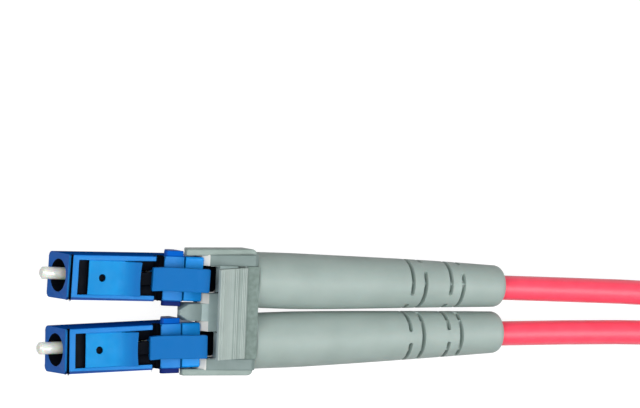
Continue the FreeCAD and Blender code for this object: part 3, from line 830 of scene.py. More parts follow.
# --- Plugs -------------------------------------------------------------------------------------------------
@dataclass
class Plug:
    """One plug: moulded housing with its latch, ceramic ferrule, flange, spring and rear body.

    Its sizes are in millimetres in the plug's own frame, and its angles in degrees. The latch's are measured
    along its top line from the bend's corner (x, z): the shoulders' end, the tail's start, bend and end. Its
    half widths are wide, neck and narrow. A drop is how far a top lies under that line, and a low or a
    thickness how far an underside does. The root is where the arm starts and ends bending, in x; the latch
    places it but does not use it. The neck is painted with shade between two places in x and up to a height.
    """

    side: Side
    finishes: Finishes
    ferrule_r: float = 0.625
    ferrule_tip: float = -1.96
    ferrule_seat: float = 4.5
    shank_r: float = 0.47
    shank_end: float = 7.0
    tip_bevel: float = 0.2
    tip_rims: tuple[float, float] = (0.08, 0.1)
    edge_mm: float = 0.06
    half: float = 2.26
    wall_inner: float = 1.8
    wall_fade: float = 0.3
    side_from: float = 2.0
    front_to: float = 0.5
    draft: float = 0.05
    thicker: float = 0.05
    play: float = -0.19
    play_fade: tuple[float, float] = (8.0, 11.0)
    mouth_r: float = 1.65
    # Front groove, window, pit under the arm and rear notch, painted with shade: x from and to, half width, z
    # from and to.
    recesses: tuple[tuple[float, float, float, float, float], ...] = (
        (0.139, 0.441, math.inf, 1.8, 2.24), (1.14, 2.31, 1.87, 0.0, 2.17), (6.0, math.inf, 1.87, 0.0, 2.17),
        (10.1, 10.81, math.inf, 0.9, 2.0))
    collar_front: float = 10.8
    collar_rear: float = 13.1
    flange_half: float = 2.8
    flange_top: float = 2.05
    flange_low: float = -0.3
    flange_sweep: float = 0.55
    flange_sunk: float = 0.06
    flange_edge: float = 0.09
    plate_front: float = 2.32
    corner: tuple[float, float] = (6.546, 2.2)
    rise: float = 17.0
    bend: float = 0.3
    wide: float = 1.72
    thick: float = 0.74
    plate_skin: float = 0.06
    soft: float = 0.06
    dimple: tuple[float, float] = (3.9, 0.0)
    dimple_r: float = 0.39
    dimple_rim: float = 0.06
    dimple_depth: float = 0.3
    shoulder_end: float = 1.63
    hollow: float = 0.1
    hollow_reach: float = 0.9
    neck: float = 0.64
    neck_drop: float = 0.7
    neck_low: float = 1.18
    tail_start: float = 2.79
    narrow: float = 1.19
    tail_thick: float = 0.65
    tail_bend: float = 7.45
    tail_bend_span: float = 0.5
    tail_turn: float = 8.0
    line_points: int = 4000
    step: float = 0.12
    fine_step: float = 0.03
    fine_half: float = 0.5
    tail_step: float = 0.22
    tail_end: float = 8.76
    root: tuple[float, float] = (6.0, 7.2)
    neutral: float = 0.36
    # Where the neck is painted with shade: x from and to, and the highest point.
    neck_seen: tuple[float, float, float] = (8.12, 9.3, 2.92)
    rear_mouth: float = 15.35

    def ferrule(self) -> Object:
        """Builds the ferrule as a turned profile with a bevelled, slightly domed tip and rounded rims.

        Returns:
            The ferrule's object.
        """
        tip, r, bevel, (face_rim, side_rim) = self.ferrule_tip, self.ferrule_r, self.tip_bevel, self.tip_rims
        profile = np.concatenate([
            [(tip, 0.0), (tip + 0.004, 0.15), (tip + 0.012, 0.3)],
            arc((tip + 0.09, r - bevel - 0.06), face_rim, 170, 120, 4),
            arc((tip + bevel + 0.06, r - side_rim), side_rim, 125, 90, 5),
            [(0.0, r), (self.ferrule_seat, r), (self.ferrule_seat, self.shank_r),
             (self.shank_end, self.shank_r), (self.shank_end, 0.0)],
        ])
        angles = np.linspace(0, 2 * math.pi, 64, endpoint=False)
        points = PlugFrame.of(self.side).place(turned(profile, angles))
        piece = object_from_grid(f"ferrule_rod_{self.side.value}", points)
        weld(piece.data)
        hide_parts(f"ferrule_{self.side.value}")
        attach(piece, f"ferrule_unit_{self.side.value}")
        self.finishes.dress(piece, "zirconia_ceramic")
        return piece

    def in_recess(self, middles: np.ndarray) -> np.ndarray:
        """Which faces of the housing lie in its mouth, front groove, window, pit or notch, where shade is
        painted.

        Args:
            middles: the faces' middles in metres.

        Returns:
            True for each that does.
        """
        x, y, z = PlugFrame.of(self.side).local(middles).T
        sunk = (np.hypot(y - self.play, z) < self.mouth_r + 0.02) & (x > 0.01)
        for start, end, half, low, high in self.recesses:
            sunk |= (x > start) & (x < end) & (np.abs(y - self.play / 2) < half) & (z > low) & (z < high)
        return sunk

    def settled(self, points: np.ndarray) -> np.ndarray:
        """Moves the nose a little to one side, by its play in the clip, less and less towards the collar.

        The shift is eased away between the fade's start and its end.

        Args:
            points: array that ends in 3, in the plug's frame.

        Returns:
            The moved points.
        """
        start, end = self.play_fade
        held = 1 - eased((points[..., :1] - start) / (end - start))
        return points + held * np.array([0.0, self.play, 0.0])

    def housing(self) -> Object:
        """Builds the nose and its collar with rounded edges, with painted shade in its recesses and darker
        painted tones on its front and sides.

        The two side flanges are drawn in to the collar's sides, because pieces of their own stand for them.
        The outer walls lean outwards by the mould's draft, from none at the top to all of it at the bottom.

        Returns:
            The housing's object.
        """
        letter, plug = self.side.value, PlugFrame.of(self.side)
        limit = np.array([np.inf, self.half, np.inf])
        piece = softened_copy(f"plug_housing_{letter}", f"nose_moulding_{letter}", self.edge_mm,
                              lambda points: plug.place(np.clip(plug.local(points), -limit, limit)))
        mesh = piece.data
        x, y, z = plug.local(read(mesh.vertices, "co")).T
        outer = np.clip((np.abs(y) - self.wall_inner) / self.wall_fade, 0, 1)
        draft = outer * self.draft * (self.half - z) / (2 * self.half)
        thicker = np.where(y < 0, outer * self.thicker, 0)
        moved = self.settled(np.stack([x, y + np.sign(y) * draft - thicker, z], -1))
        write(mesh.vertices, "co", plug.place(moved))
        mesh.update()
        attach(piece, "connector")
        self.finishes.dress(piece, "blue_plastic", "blue_painted_recess_shade", "blue_painted_shading", "blue_nose_painted_edge_shade", "blue_painted_front_shade")
        paint_shade_on_faces(piece, self.in_recess)
        # The nose's finish fades by the place across the plug, so that is its U: a painted shade along the -Y
        # edge.
        add_uv(mesh, "across", moved[:, [1, 0]] * MM)
        # Painted shade: faces looking sideways get the darker side tone, those looking forwards the front
        # tone, and the rest the nose's tone.
        index = read(mesh.polygons, "material_index", 1, np.int32).ravel()
        normals, middles = read(mesh.polygons, "normal"), plug.local(read(mesh.polygons, "center"))
        sideways = (np.abs(normals[:, 1]) > 0.5) & (np.abs(middles[:, 1]) > self.side_from)
        forward = (normals[:, 0] < -0.8) & (middles[:, 0] < self.front_to)
        outside = np.where(forward, 4, np.where(sideways, 2, 3))
        write(mesh.polygons, "material_index", np.where(index == 0, outside, index), np.int32)
        return piece

    def flanges(self) -> Object:
        """Builds the collar's two side flanges: flat tabs whose front edge is swept back towards the floor.

        Returns:
            One object with both.
        """
        top, low, front, rear = self.flange_top, self.flange_low, self.collar_front, self.collar_rear
        swept = front + self.flange_sweep * (top - low)
        outline = rounded_outline(
            ((front, top, 0.32), (rear, top, 0.12), (rear, low, 0.12), (swept, low, 0.2)))
        plug, inner = PlugFrame.of(self.side), self.half - self.flange_sunk
        shells = [(plug.place(slab(outline, *span, self.flange_edge)[..., [0, 2, 1]]), index)
                  for span, index in (((inner, self.flange_half), 1), ((-self.flange_half, -inner), 2))]
        piece, index = object_from_shells(f"collar_flanges_{self.side.value}", shells)
        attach(piece, "connector")
        self.finishes.dress(piece, "blue_plastic", "blue_painted_flange_shade", "blue_shaded", "blue_painted_shading")
        # Painted shade: the +Y flange is a darker blue with a lighter painted top, the -Y one a navy painted
        # shade.
        faces = piece.data.polygons
        lit = (read(faces, "normal")[:, 2] > 0.9) & (plug.local(read(faces, "center"))[:, 1] > 0)
        write(faces, "material_index", np.where(lit, 3, index), np.int32)
        return piece

    def arm_line(self, reach: np.ndarray) -> tuple[np.ndarray, np.ndarray]:
        """Top line of the latch: flat over the plate, then an arc, then straight up its rise.

        The reach is counted along the line from the bend's corner. On the arc its slope grows evenly from
        zero to the rise, so the place is the running sum of (cosine, sine) of the slope. The tail turns down
        a little in the same way.

        Args:
            reach: places along the line in millimetres, rising.

        Returns:
            Points (x, z) and slopes in radians.
        """
        fine = np.linspace(reach[0], reach[-1], self.line_points)
        slope = math.radians(self.rise) * np.clip((fine + self.bend) / (2 * self.bend), 0, 1)
        slope = slope - math.radians(self.tail_turn) * np.clip(
            (fine - self.tail_bend) / self.tail_bend_span + 0.5, 0, 1)
        step = fine[1] - fine[0]
        x = self.corner[0] + reach[0] + np.concatenate([[0], np.cumsum(np.cos(slope[1:]) * step)])
        z = self.corner[1] + np.concatenate([[0], np.cumsum(np.sin(slope[1:]) * step)])
        line = np.stack([np.interp(reach, fine, x), np.interp(reach, fine, z)], -1)
        return line, np.interp(reach, fine, slope)

    def latch(self) -> Object:
        """Builds the plate and the latch arm as one skin: plate, shoulders, low neck and narrow tail.

        Each row is a rounded rectangle that hangs under the top line, by its own half width and thickness.
        The shoulders' rear edge is hollow: its reach is less by a share of 1 - (y / half width)^2. The dimple
        lowers the plate by its depth times 1 - eased of the distance from its middle.

        Returns:
            The latch's object.
        """
        dimple_reach = self.dimple[0] - self.corner[0]
        beside = self.fine_half + 0.05
        plate = np.concatenate([
            np.arange(self.plate_front - self.corner[0] + 0.05, dimple_reach - beside, self.step),
            np.arange(dimple_reach - self.fine_half, dimple_reach + self.fine_half, self.fine_step),
            np.arange(dimple_reach + beside, self.shoulder_end - 0.1, self.step)])
        front, rear, tail, end = plate[0] - 0.05, self.shoulder_end, self.tail_start, self.tail_end
        wide, narrow, thick = self.wide, self.narrow, self.tail_thick
        neck = (self.neck, self.neck_drop, self.neck_low)
        # Each row: reach, half width, and how far its top and its underside lie below the top line.
        rows: list[tuple[float, float, float, float]] = [(front, 0.02, 0.0, 0.06), (front, wide, 0.03, 0.06)]
        rows += [(reach, wide, 0.0, self.plate_skin if reach < 0.1 else self.thick) for reach in plate]
        rows += [(rear - 0.05, wide, 0.0, self.thick), (rear - 0.015, wide - 0.015, 0.015, self.thick),
                 (rear, wide - 0.05, 0.05, self.thick), (rear, *neck), (tail, *neck),
                 (tail, narrow - 0.06, 0.06, thick), (tail + 0.02, narrow - 0.02, 0.02, thick),
                 (tail + 0.07, narrow, 0.0, thick)]
        rows += [(reach, narrow, 0.0, thick) for reach in np.arange(tail + 0.3, end - 0.2, self.tail_step)]
        rows += [(end - 0.16, narrow, 0.0, 0.5), (end - 0.06, narrow - 0.05, 0.03, 0.44),
                 (end, narrow - 0.15, 0.12, 0.36), (end, 0.02, 0.2, 0.26)]
        reach, half, drop, low = np.array(rows).T
        line, slope = self.arm_line(np.concatenate([reach, reach[-1:] + 0.01]))
        line, slope = line[:-1], slope[:-1, None]
        y, under = self.section(half[:, None], drop[:, None], low[:, None])
        near_rear = np.clip(1 - np.abs(reach - rear) / self.hollow_reach, 0, 1) * (reach <= rear)
        hollow = self.hollow * near_rear[:, None] * (1 - (y / half[:, None]) ** 2)
        ahead = (y * 0 + 1) * line[:, :1] - under * np.sin(slope) - hollow * np.cos(slope)
        up = line[:, 1:] + under * np.cos(slope) - hollow * np.sin(slope)
        off_middle = np.hypot(ahead - self.dimple[0], y)
        away = eased((off_middle - self.dimple_r + self.dimple_rim) / self.dimple_rim)
        up = up - self.dimple_depth * (1 - away) * (under > -0.3)
        plug = PlugFrame.of(self.side)
        points = drawn_together(plug.place(self.settled(np.stack([ahead, y, up], -1))))
        along = np.concatenate([reach[:1], reach, reach[-1:]])[:, None].repeat(points.shape[1], 1) * MM
        around = np.linspace(0, 1, points.shape[1])[None].repeat(len(along), 0) * MM
        uv = np.stack([along, around], -1)
        piece = object_from_grid(f"latch_moulding_{self.side.value}", points, uv=uv)
        weld(piece.data)
        start, end = (tuple(plug.place(np.array([x, 0.0, self.corner[1] - self.neutral]))) for x in self.root)

        def dark(middles: np.ndarray) -> np.ndarray:
            """The dimple and the neck, which get painted shade."""
            x, y, z = plug.local(middles).T
            off_middle = np.hypot(x - self.dimple[0], y - self.play)
            in_dimple = (off_middle < self.dimple_r - 0.015) & (z < self.corner[1] - 0.03)
            neck_start, neck_end, neck_top = self.neck_seen
            return in_dimple | ((x > neck_start) & (x < neck_end) & (z < neck_top))

        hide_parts(f"latch_arm_{self.side.value}")
        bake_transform(piece)
        # Painted shade: the dimple and the neck go near-black, and the arm's blue deepens from its bend up the
        # rise.
        self.finishes.dress(piece, "blue_plastic", "blue_painted_recess_shade", "blue_arm_painted_slope_shade")
        paint_shade_on_faces(piece, dark, 2)
        return piece

    def section(self, half: np.ndarray, drop: np.ndarray, low: np.ndarray) -> tuple[np.ndarray, np.ndarray]:
        """Rounded rectangles round the latch, once round from +Y over the top.

        Args:
            half: each row's half width, rows by 1.
            drop: how far its top lies below the top line.
            low: how far its underside lies below it.

        Returns:
            Places across and heights over the top line, each rows by columns.
        """
        # The points lie closer together over the dimple, which is in the middle.
        flat = np.concatenate([np.linspace(1, 0.3, 14, endpoint=False),
                               np.linspace(0.3, -0.3, 34, endpoint=False), np.linspace(-0.3, -1, 15)])
        corner = np.radians(np.linspace(0, 90, 6)[1:])
        s, c = np.sin(corner), np.cos(corner)
        radius = np.minimum(self.soft, np.minimum(half * 0.4, (low - drop) * 0.4))
        inner, top, bottom = half - radius, -drop, -low
        y = [inner * flat, -inner - radius * s, -inner - radius * c, -inner * np.linspace(1, -1, 12),
             inner + radius * s, inner + radius * c]
        under = [np.repeat(top, len(flat), 1), top - radius + radius * c, bottom + radius - radius * s,
                 np.repeat(bottom, 12, 1), bottom + radius - radius * c, top - radius + radius * s]
        return np.concatenate(y, 1), np.concatenate(under, 1)

    def rear_block(self) -> Object:
        """Builds the rear body with rounded edges, and painted shade on its part behind the rear mouth."""
        letter = self.side.value
        piece = softened_copy(f"rear_body_{letter}", f"rear_moulding_{letter}", self.edge_mm)
        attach(piece, "connector")
        self.finishes.dress(piece, "blue_plastic", "blue_painted_recess_shade")
        plug = PlugFrame.of(self.side)
        paint_shade_on_faces(piece, lambda middles: plug.local(middles)[:, 0] > self.rear_mouth)
        return piece

    def spring(self) -> Object:
        """Copies the spring's solid, which sits between the ferrule's flange and the rear body.

        Returns:
            The spring's object.
        """
        letter, plug = self.side.value, PlugFrame.of(self.side)
        node = f"ferrule_spring_{letter}"
        piece = linked(f"coil_spring_{letter}", frame["nodes"][node].data.copy())
        x = plug.local(read(piece.data.vertices, "co"))[:, 0]
        ends = plug.place(np.array([[x.min(), 0.0, 0.0], [x.max(), 0.0, 0.0]]))
        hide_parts(node)
        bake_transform(piece)
        self.finishes.dress(piece, "spring_steel")
        return piece

    def build(self) -> list[Object]:
        """Builds and dresses the plug.

        Returns:
            The plug's new objects.
        """
        for node, slot in (("ferrule_flange", "plated_brass"), ("crimp_sleeve", "crimp_metal"),
                           ("buffered_fibre", "fibre_buffer")):
            self.finishes.dress(frame["nodes"][f"{node}_{self.side.value}"], slot)
        return [self.ferrule(), self.spring(), self.housing(), self.flanges(), self.latch(),
                self.rear_block()]


# --- Boots -------------------------------------------------------------------------------------------------
@dataclass
class Boot:
    """Tapered bend relief: straight shoulder, long taper, four rings of slots and a rounded end.

    Its sizes are in millimetres in the plug's own frame. Each slot is given by the x where it starts.
    """

    side: Side
    finishes: Finishes
    front: float = 17.3
    neck_r: float = 2.2
    sleeve_r: float = 1.75
    shoulder: float = 21.5
    shoulder_round: float = 0.28
    front_r: float = 2.835
    taper_start: float = 26.5
    taper_power: float = 1.25
    rear: float = 50.7
    rear_r: float = 2.1
    tip_round: float = 0.6
    bore_r: float = 1.42
    bend: float = 0.19
    bend_reach: tuple[float, float] = (26.0, 46.0)
    slots: tuple[float, ...] = (39.3, 40.8, 43.8, 45.25)
    slot_width: float = 0.44
    core: float = 1.5
    bridge: float = 0.6
    slot_clear: float = 0.35
    slot_least: float = 0.12
    slot_lip: float = 0.02
    blade_r: float = 0.35
    inside: float = 31.0
    columns: int = 144

    @property
    def turn(self) -> float:
        """How far the first ring's bridges are turned from the crown, in degrees."""
        return -39.0 if self.side is Side.A else 0.0

    def outer_radius(self, x: np.ndarray) -> np.ndarray:
        """Radius of the outside before its end is rounded.

        It is constant up to the taper's start. Past it, it falls by a share t of the whole drop, where t is
        the way along the taper raised to a power over 1, so that the taper begins softly.

        Args:
            x: places along the plug in millimetres.

        Returns:
            The radius at each.
        """
        t = np.clip((x - self.taper_start) / (self.rear - self.taper_start), 0, 1) ** self.taper_power
        return self.front_r + (self.rear_r - self.front_r) * t

    def slot_floor(self, ring: int, angles: np.ndarray) -> np.ndarray:
        """Radius of a ring's floor at each angle.

        Two blades cut each ring from opposite sides and leave a square core and two bridges. The floor is the
        square's edge, core over the larger of |cosine| and |sine|, or the bridge's side, bridge over |sine|,
        whichever is further out.

        Args:
            ring: index of the ring.
            angles: in radians from the plug's +Y.

        Returns:
            The radius at each angle.
        """
        local = angles - math.radians(90 - self.turn - 90 * ring)
        s, c = np.abs(np.sin(local)), np.abs(np.cos(local))
        return np.maximum(self.core / np.maximum(s, c), self.bridge / np.maximum(s, 1e-6))

    def build(self) -> Object:
        """Builds the boot as one closed turned grid, with the slots as steps of the radius.

        Returns:
            The boot's object.
        """
        angles = np.linspace(0, 2 * math.pi, self.columns, endpoint=False)
        steps = np.array([-0.05, -0.015, 0.0, 0.012, self.slot_width - 0.012, self.slot_width,
                          self.slot_width + 0.015, self.slot_width + 0.05])
        plain = np.linspace(self.shoulder + 0.5, self.rear - self.tip_round, 56)
        keep = np.all([np.abs(plain - start - self.slot_width / 2) > self.slot_clear
                       for start in self.slots], 0)
        stations = [(x, -1, 0) for x in plain[keep]]
        for ring, start in enumerate(self.slots):
            stations += [(start + step, ring, index) for index, step in enumerate(steps)]
        stations.sort()
        rows = []
        for x, ring, index in stations:
            across = np.full(self.columns, x)
            outer = self.outer_radius(across)
            if ring >= 0:
                floor = np.minimum(self.slot_floor(ring, angles), outer)
                middle = self.slots[ring] + self.slot_width / 2
                # The blade's corners are round, so the slot narrows as its floor comes up to the surface.
                depth = np.clip((outer - floor) / self.blade_r, 0, 1)
                narrow = np.sqrt(1 - (1 - depth) ** 2)
                across = middle + (x - middle) * (self.slot_least + (1 - self.slot_least) * narrow)
                if index in (3, 4):
                    outer = floor
                elif index in (2, 5):
                    outer = outer - self.slot_lip * (depth > 0)
            rows.append(np.stack([across, outer], -1))
        ends_before = np.array([
            (self.inside, self.bore_r + 0.03), (self.inside, self.sleeve_r), (self.front, self.sleeve_r),
            (self.front, self.neck_r), (self.shoulder, self.neck_r),
            *arc((self.shoulder + self.shoulder_round, self.front_r - self.shoulder_round),
                 self.shoulder_round, 180, 90, 6),
        ])
        tip = self.rear_r - self.tip_round
        ends_after = np.array([
            *arc((self.rear - self.tip_round, tip), self.tip_round, 80, 0, 7),
            *arc((self.rear - 0.12, self.bore_r + 0.12), 0.12, 0, -90, 4),
        ])
        before, after = (np.repeat(ends[:, None], self.columns, 1) for ends in (ends_before, ends_after))
        local = turned(np.concatenate([before, rows, after]), angles)
        if self.side is Side.A:
            # This boot leans away from its neighbour by the bend, eased along the bend's reach.
            start, end = self.bend_reach
            local[..., 1] += self.bend * eased((local[..., 0] - start) / (end - start))
        points = PlugFrame.of(self.side).place(local)
        piece = object_from_grid(f"boot_sleeve_{self.side.value}", points, closed_rows=True)
        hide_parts(f"boot_{self.side.value}")
        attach(piece, "connector")
        self.finishes.dress(piece, "grey_rubber")
        return piece


# --- Clip and trigger --------------------------------------------------------------------------------------
@dataclass
class Clip:
    """Duplex clip: the saddle round both plugs and the bar that presses both latches.

    Its sizes are in millimetres, x from the plugs' front faces and heights from their axes. Each corner of an
    outline is x, then y or height, then its radius.
    """

    finishes: Finishes
    axis_height: float = 2.9
    front: float = 15.45
    rear: float = 21.35
    wall_front: float = 13.25
    wall_inner: float = 5.74
    rim: float = 2.5
    skirt: float = 0.05
    brow: float = 0.6
    nose_slope: float = 1.0
    corner_r: float = 0.6
    soft: float = 0.13
    band: tuple[float, float] = (4.68, 5.84)
    band_front: float = 2.66
    band_rear: float = 3.1
    chamfer: float = 0.4
    chamfer_low: float = 1.85
    divider_tip: float = 12.7
    divider_half: float = 0.875
    divider_tip_half: float = 0.25
    divider_flare: float = 1.1
    floor_top: float = 2.75
    floor_half: float = 4.7
    strip_half: float = 1.92
    notch_rear: float = 17.0
    cradle_front: float = 19.95
    cradle_top: float = 3.2
    core_shrink: float = 0.07
    core_back: float = 1.2
    slab_low: float = 1.9
    strip_low: float = 1.2
    notch_box: tuple[float, float] = (-2.0, 2.62)
    root: tuple[float, float] = (19.5, 3.3)
    rise: float = 26.5
    thick: float = 0.8
    reach: float = 4.68
    bar_half: float = 4.58
    bar_edge: float = 0.02
    lip: tuple[float, float] = (4.3, 0.12)
    lip_span: float = 0.12
    # Middle, half width and depth of each soft hollow in the bar's top.
    hollows: tuple[tuple[float, float, float], ...] = ((4.1, 0.16, 0.1), (3.1, 0.85, 0.09), (1.25, 0.3, 0.06))
    ribs: tuple[float, ...] = (1.88, 1.58, 0.7, 0.42, 0.12)
    rib_half: float = 0.07
    rib_height: float = 0.03
    rib_clear: float = 0.08
    dull_shade_from: float = 2.25

    def place(self, grid: np.ndarray) -> np.ndarray:
        """Moves points from the clip's own x and heights to the row's frame.

        Args:
            grid: array that ends in 3, in millimetres.

        Returns:
            The same array in metres.
        """
        rear_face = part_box("clip_body")[1][0]
        return grid * MM + np.array([rear_face - self.rear * MM, 0.0, self.axis_height * MM])

    def own(self, points: np.ndarray) -> np.ndarray:
        """Moves points from the row's frame to the clip's own, the reverse of place."""
        return (points - self.place(np.zeros(3))) / MM

    def along_x(self, corners: Sequence[tuple[float, float, float]], y: tuple[float, float],
                edge: float) -> np.ndarray:
        """A slab whose outline is drawn in x and height, with its width across.

        Args:
            corners: x, height and radius of each corner.
            y: where it starts and ends across the clip.
            edge: radius of its rims.

        Returns:
            Its grid in metres.
        """
        return self.place(slab(rounded_outline(corners), min(y), max(y), edge)[..., [0, 2, 1]])

    def hanging(self, corners: Sequence[tuple[float, float, float]], front: float, way: int) -> np.ndarray:
        """A slab whose outline is drawn in x and y, down to the skirt, with a sloped underside at its front.

        The underside's height is the skirt plus the slope's rise times the share of the slope still ahead.

        Args:
            corners: x, y and radius of each corner.
            front: x of its foremost point.
            way: 1, or -1 to mirror it across the middle.

        Returns:
            Its grid in metres.
        """
        outline = rounded_outline(corners) * np.array([1, way])
        ahead = np.clip((front + self.nose_slope - outline[:, 0]) / self.nose_slope, 0, 1)
        low = self.skirt + (self.rim - self.brow - self.skirt) * ahead
        return self.place(slab(outline, low, self.rim, self.soft))

    def core(self) -> Object:
        """Copies the clip's solid a little smaller, for its bores, its foot and what shows under the skin.

        Each point moves inwards along its normal, and those of the front face further, behind the chamfer.

        Returns:
            The core's object.
        """
        mesh = frame["nodes"]["clip_body"].data.copy()
        weld(mesh, 0.002, slivers=False)
        points = read(mesh.vertices, "co") - read(mesh.vertices, "normal") * self.core_shrink * MM
        x, _, z = self.own(points).T
        at_front = (np.abs(x - self.front - self.core_shrink) < 0.1) & (z > 0.5)
        points[:, 0] += np.where(at_front, self.chamfer * self.core_back * MM, 0)
        write(mesh.vertices, "co", points)
        piece = linked("clip_core", mesh)
        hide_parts("clip_body")
        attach(piece, "connector")
        self.finishes.dress(piece, "grey_plastic", "grey_painted_recess_shade")

        def under_bar(middles: np.ndarray) -> np.ndarray:
            """The open notches behind the latches' tails, which get painted shade."""
            x, y, z = self.own(middles).T
            inside = (x > self.front - 0.1) & (x < self.root[0]) & (np.abs(y) < self.floor_half - 0.05)
            return inside & (z > self.notch_box[0]) & (z < self.notch_box[1])

        paint_shade_on_faces(piece, under_bar)
        return piece

    def skin(self) -> Object:
        """Builds the clip's visible upper shell from rounded slabs, with painted light and shade on its tones.

        Returns:
            The shell's object.
        """
        # Tones of the clip's grey: the rim, band and divider tones are painted shade, the floor tone is
        # painted light where the bar shades it, and the lit edge is a painted highlight.
        coats = ("grey_plastic", "grey_lit_edge", "grey_shaded", "grey_rough", "grey_painted_light_floor", "grey_painted_rim_shade",
                 "grey_painted_band_shade")
        _, lit_edge, shaded, rough, level, rim, band = range(len(coats))
        half, (inner, outer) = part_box("clip_body")[1][1] / MM, self.band
        face, behind, rear = self.front - 0.1, self.front + self.chamfer, self.rear
        deep, top, notch = self.slab_low, self.floor_top, self.notch_rear
        tip, wide, flare = self.divider_tip_half, self.divider_half, self.divider_tip + self.divider_flare
        rim_line = (
            (self.wall_front, self.wall_inner, 0.2), (behind, self.wall_inner, 0.0),
            (behind, inner + 0.2, 0.0), (rear, inner + 0.2, 0.0), (rear, half, self.corner_r),
            (self.wall_front, half, 0.25))
        band_line = (
            (face, self.skirt, 0.0), (face, self.chamfer_low, 0.05), (behind, self.band_front, 0.08),
            (rear - 0.5, self.band_rear, 0.2), (rear, self.band_rear - 0.3, 0.1), (rear, self.skirt, 0.0))
        strip_line = (
            (face, self.strip_low, 0.0), (face, self.chamfer_low, 0.05), (behind, top, 0.05),
            (notch + 0.1, top, 0.0), (notch + 0.1, deep, 0.0))
        divider_line = (
            (self.divider_tip, -tip, 0.08), (flare, -wide, 0.4), (self.front + 0.5, -wide, 0.0),
            (self.front + 0.5, wide, 0.0), (flare, wide, 0.4), (self.divider_tip, tip, 0.08))
        middle_line = (
            (self.front - 0.3, deep, 0.0), (self.front - 0.3, self.rim - 0.03, 0.0), (behind, top, 0.3),
            (notch + 0.1, top, 0.0), (notch + 0.1, deep, 0.0))
        floor_line = ((notch, deep, 0.0), (notch, top, 0.0), (rear, top, 0.1), (rear, deep, 0.0))
        cradle_line = ((self.cradle_front, 2.0, 0.0), (self.cradle_front, self.cradle_top, 0.12),
                       (rear, self.cradle_top, 0.15), (rear, 2.0, 0.0))
        shells = []
        for way in (1, -1):
            shells += [(self.hanging(rim_line, self.wall_front, way), rim),
                       (self.along_x(band_line, (way * inner, way * outer), 0.1), band),
                       (self.along_x(strip_line, (way * (wide - 0.02), way * self.strip_half), 0.04), level)]
        shells += [(self.hanging(divider_line, self.divider_tip, 1), shaded),
                   (self.along_x(middle_line, (-wide, wide), 0.02), level),
                   (self.along_x(floor_line, (-self.floor_half, self.floor_half), 0.02), level),
                   (self.along_x(cradle_line, (-self.floor_half, self.floor_half), 0.08), rough)]
        piece, index = object_from_shells("clip_shell", shells)
        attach(piece, "connector")
        self.finishes.dress(piece, *coats)
        x, y, z = self.own(read(piece.data.polygons, "center")).T
        # Painted highlight on the chamfer's front strip of the bands and strips.
        sloped = (x > face - 0.02) & (x < behind + 0.03) & (z > 0.5) & (np.abs(y) > wide)
        index[sloped & np.isin(index, (level, band))] = lit_edge
        write(piece.data.polygons, "material_index", index, np.int32)
        return piece

    def bar(self) -> Object:
        """Builds the trigger: one profile carried across, with a lip, a groove, soft hollows and fine ribs.

        The top line's height is half the thickness, plus the lip's height, eased in, less each
        hollow's depth times 1 - (distance / half width)^2, plus a small round rib at each rib's place.

        Returns:
            The trigger's object.
        """
        back = np.radians(np.linspace(-90, 90, 13))
        half = self.thick / 2
        top = np.linspace(0.02, self.reach - 0.06, 160)
        height = np.full_like(top, half)
        height += self.lip[1] * eased((top - self.lip[0]) / self.lip_span)
        for middle, width, depth in self.hollows:
            height -= depth * np.clip(1 - ((top - middle) / width) ** 2, 0, 1)
        for rib in self.ribs:
            height += self.rib_height * np.clip(1 - ((top - rib) / self.rib_half) ** 2, 0, 1)
        end = self.reach
        front = np.array([(end, half + self.lip[1] - 0.06), (end, -half + 0.6), (end - 0.04, -half + 0.54),
                          (end - 0.85, -half), (0.3, -half)])
        outline = np.concatenate([np.stack([-half * np.cos(back), half * np.sin(back)], -1),
                                  np.stack([top, height], -1), front])
        rise = math.radians(self.rise)
        x = self.root[0] - outline[:, 0] * math.cos(rise) + outline[:, 1] * math.sin(rise)
        z = self.root[1] + outline[:, 0] * math.sin(rise) + outline[:, 1] * math.cos(rise)
        grid = slab(np.stack([x, z], -1), -self.bar_half, self.bar_half, self.bar_edge)[..., [0, 2, 1]]
        piece, _ = object_from_shells("trigger_bar", [(self.place(grid), 0)])
        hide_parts("clip_trigger")
        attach(piece, "trigger")
        self.finishes.dress(piece, "grey_plastic", "grey_dull_painted_shade")

        def middle_zone(middles: np.ndarray) -> np.ndarray:
            """The duller rear half of the bar between its ribs, which is also painted with shade."""
            x, _, z = self.own(middles).T
            along = (self.root[0] - x) * math.cos(rise) + (z - self.root[1]) * math.sin(rise)
            over = (self.root[0] - x) * -math.sin(rise) + (z - self.root[1]) * math.cos(rise)
            off_ribs = np.min(np.abs(along[:, None] - np.array(self.ribs)), 1) > self.rib_clear
            return (along < self.dull_shade_from) & (over > 0) & off_ribs

        # Painted shade on the bar's rear half, while its ribs keep the lit grey.
        paint_shade_on_faces(piece, middle_zone)
        return piece

    def build(self) -> list[Object]:
        """Builds the core, the shell over it and the trigger."""
        return [self.core(), self.skin(), self.bar()]


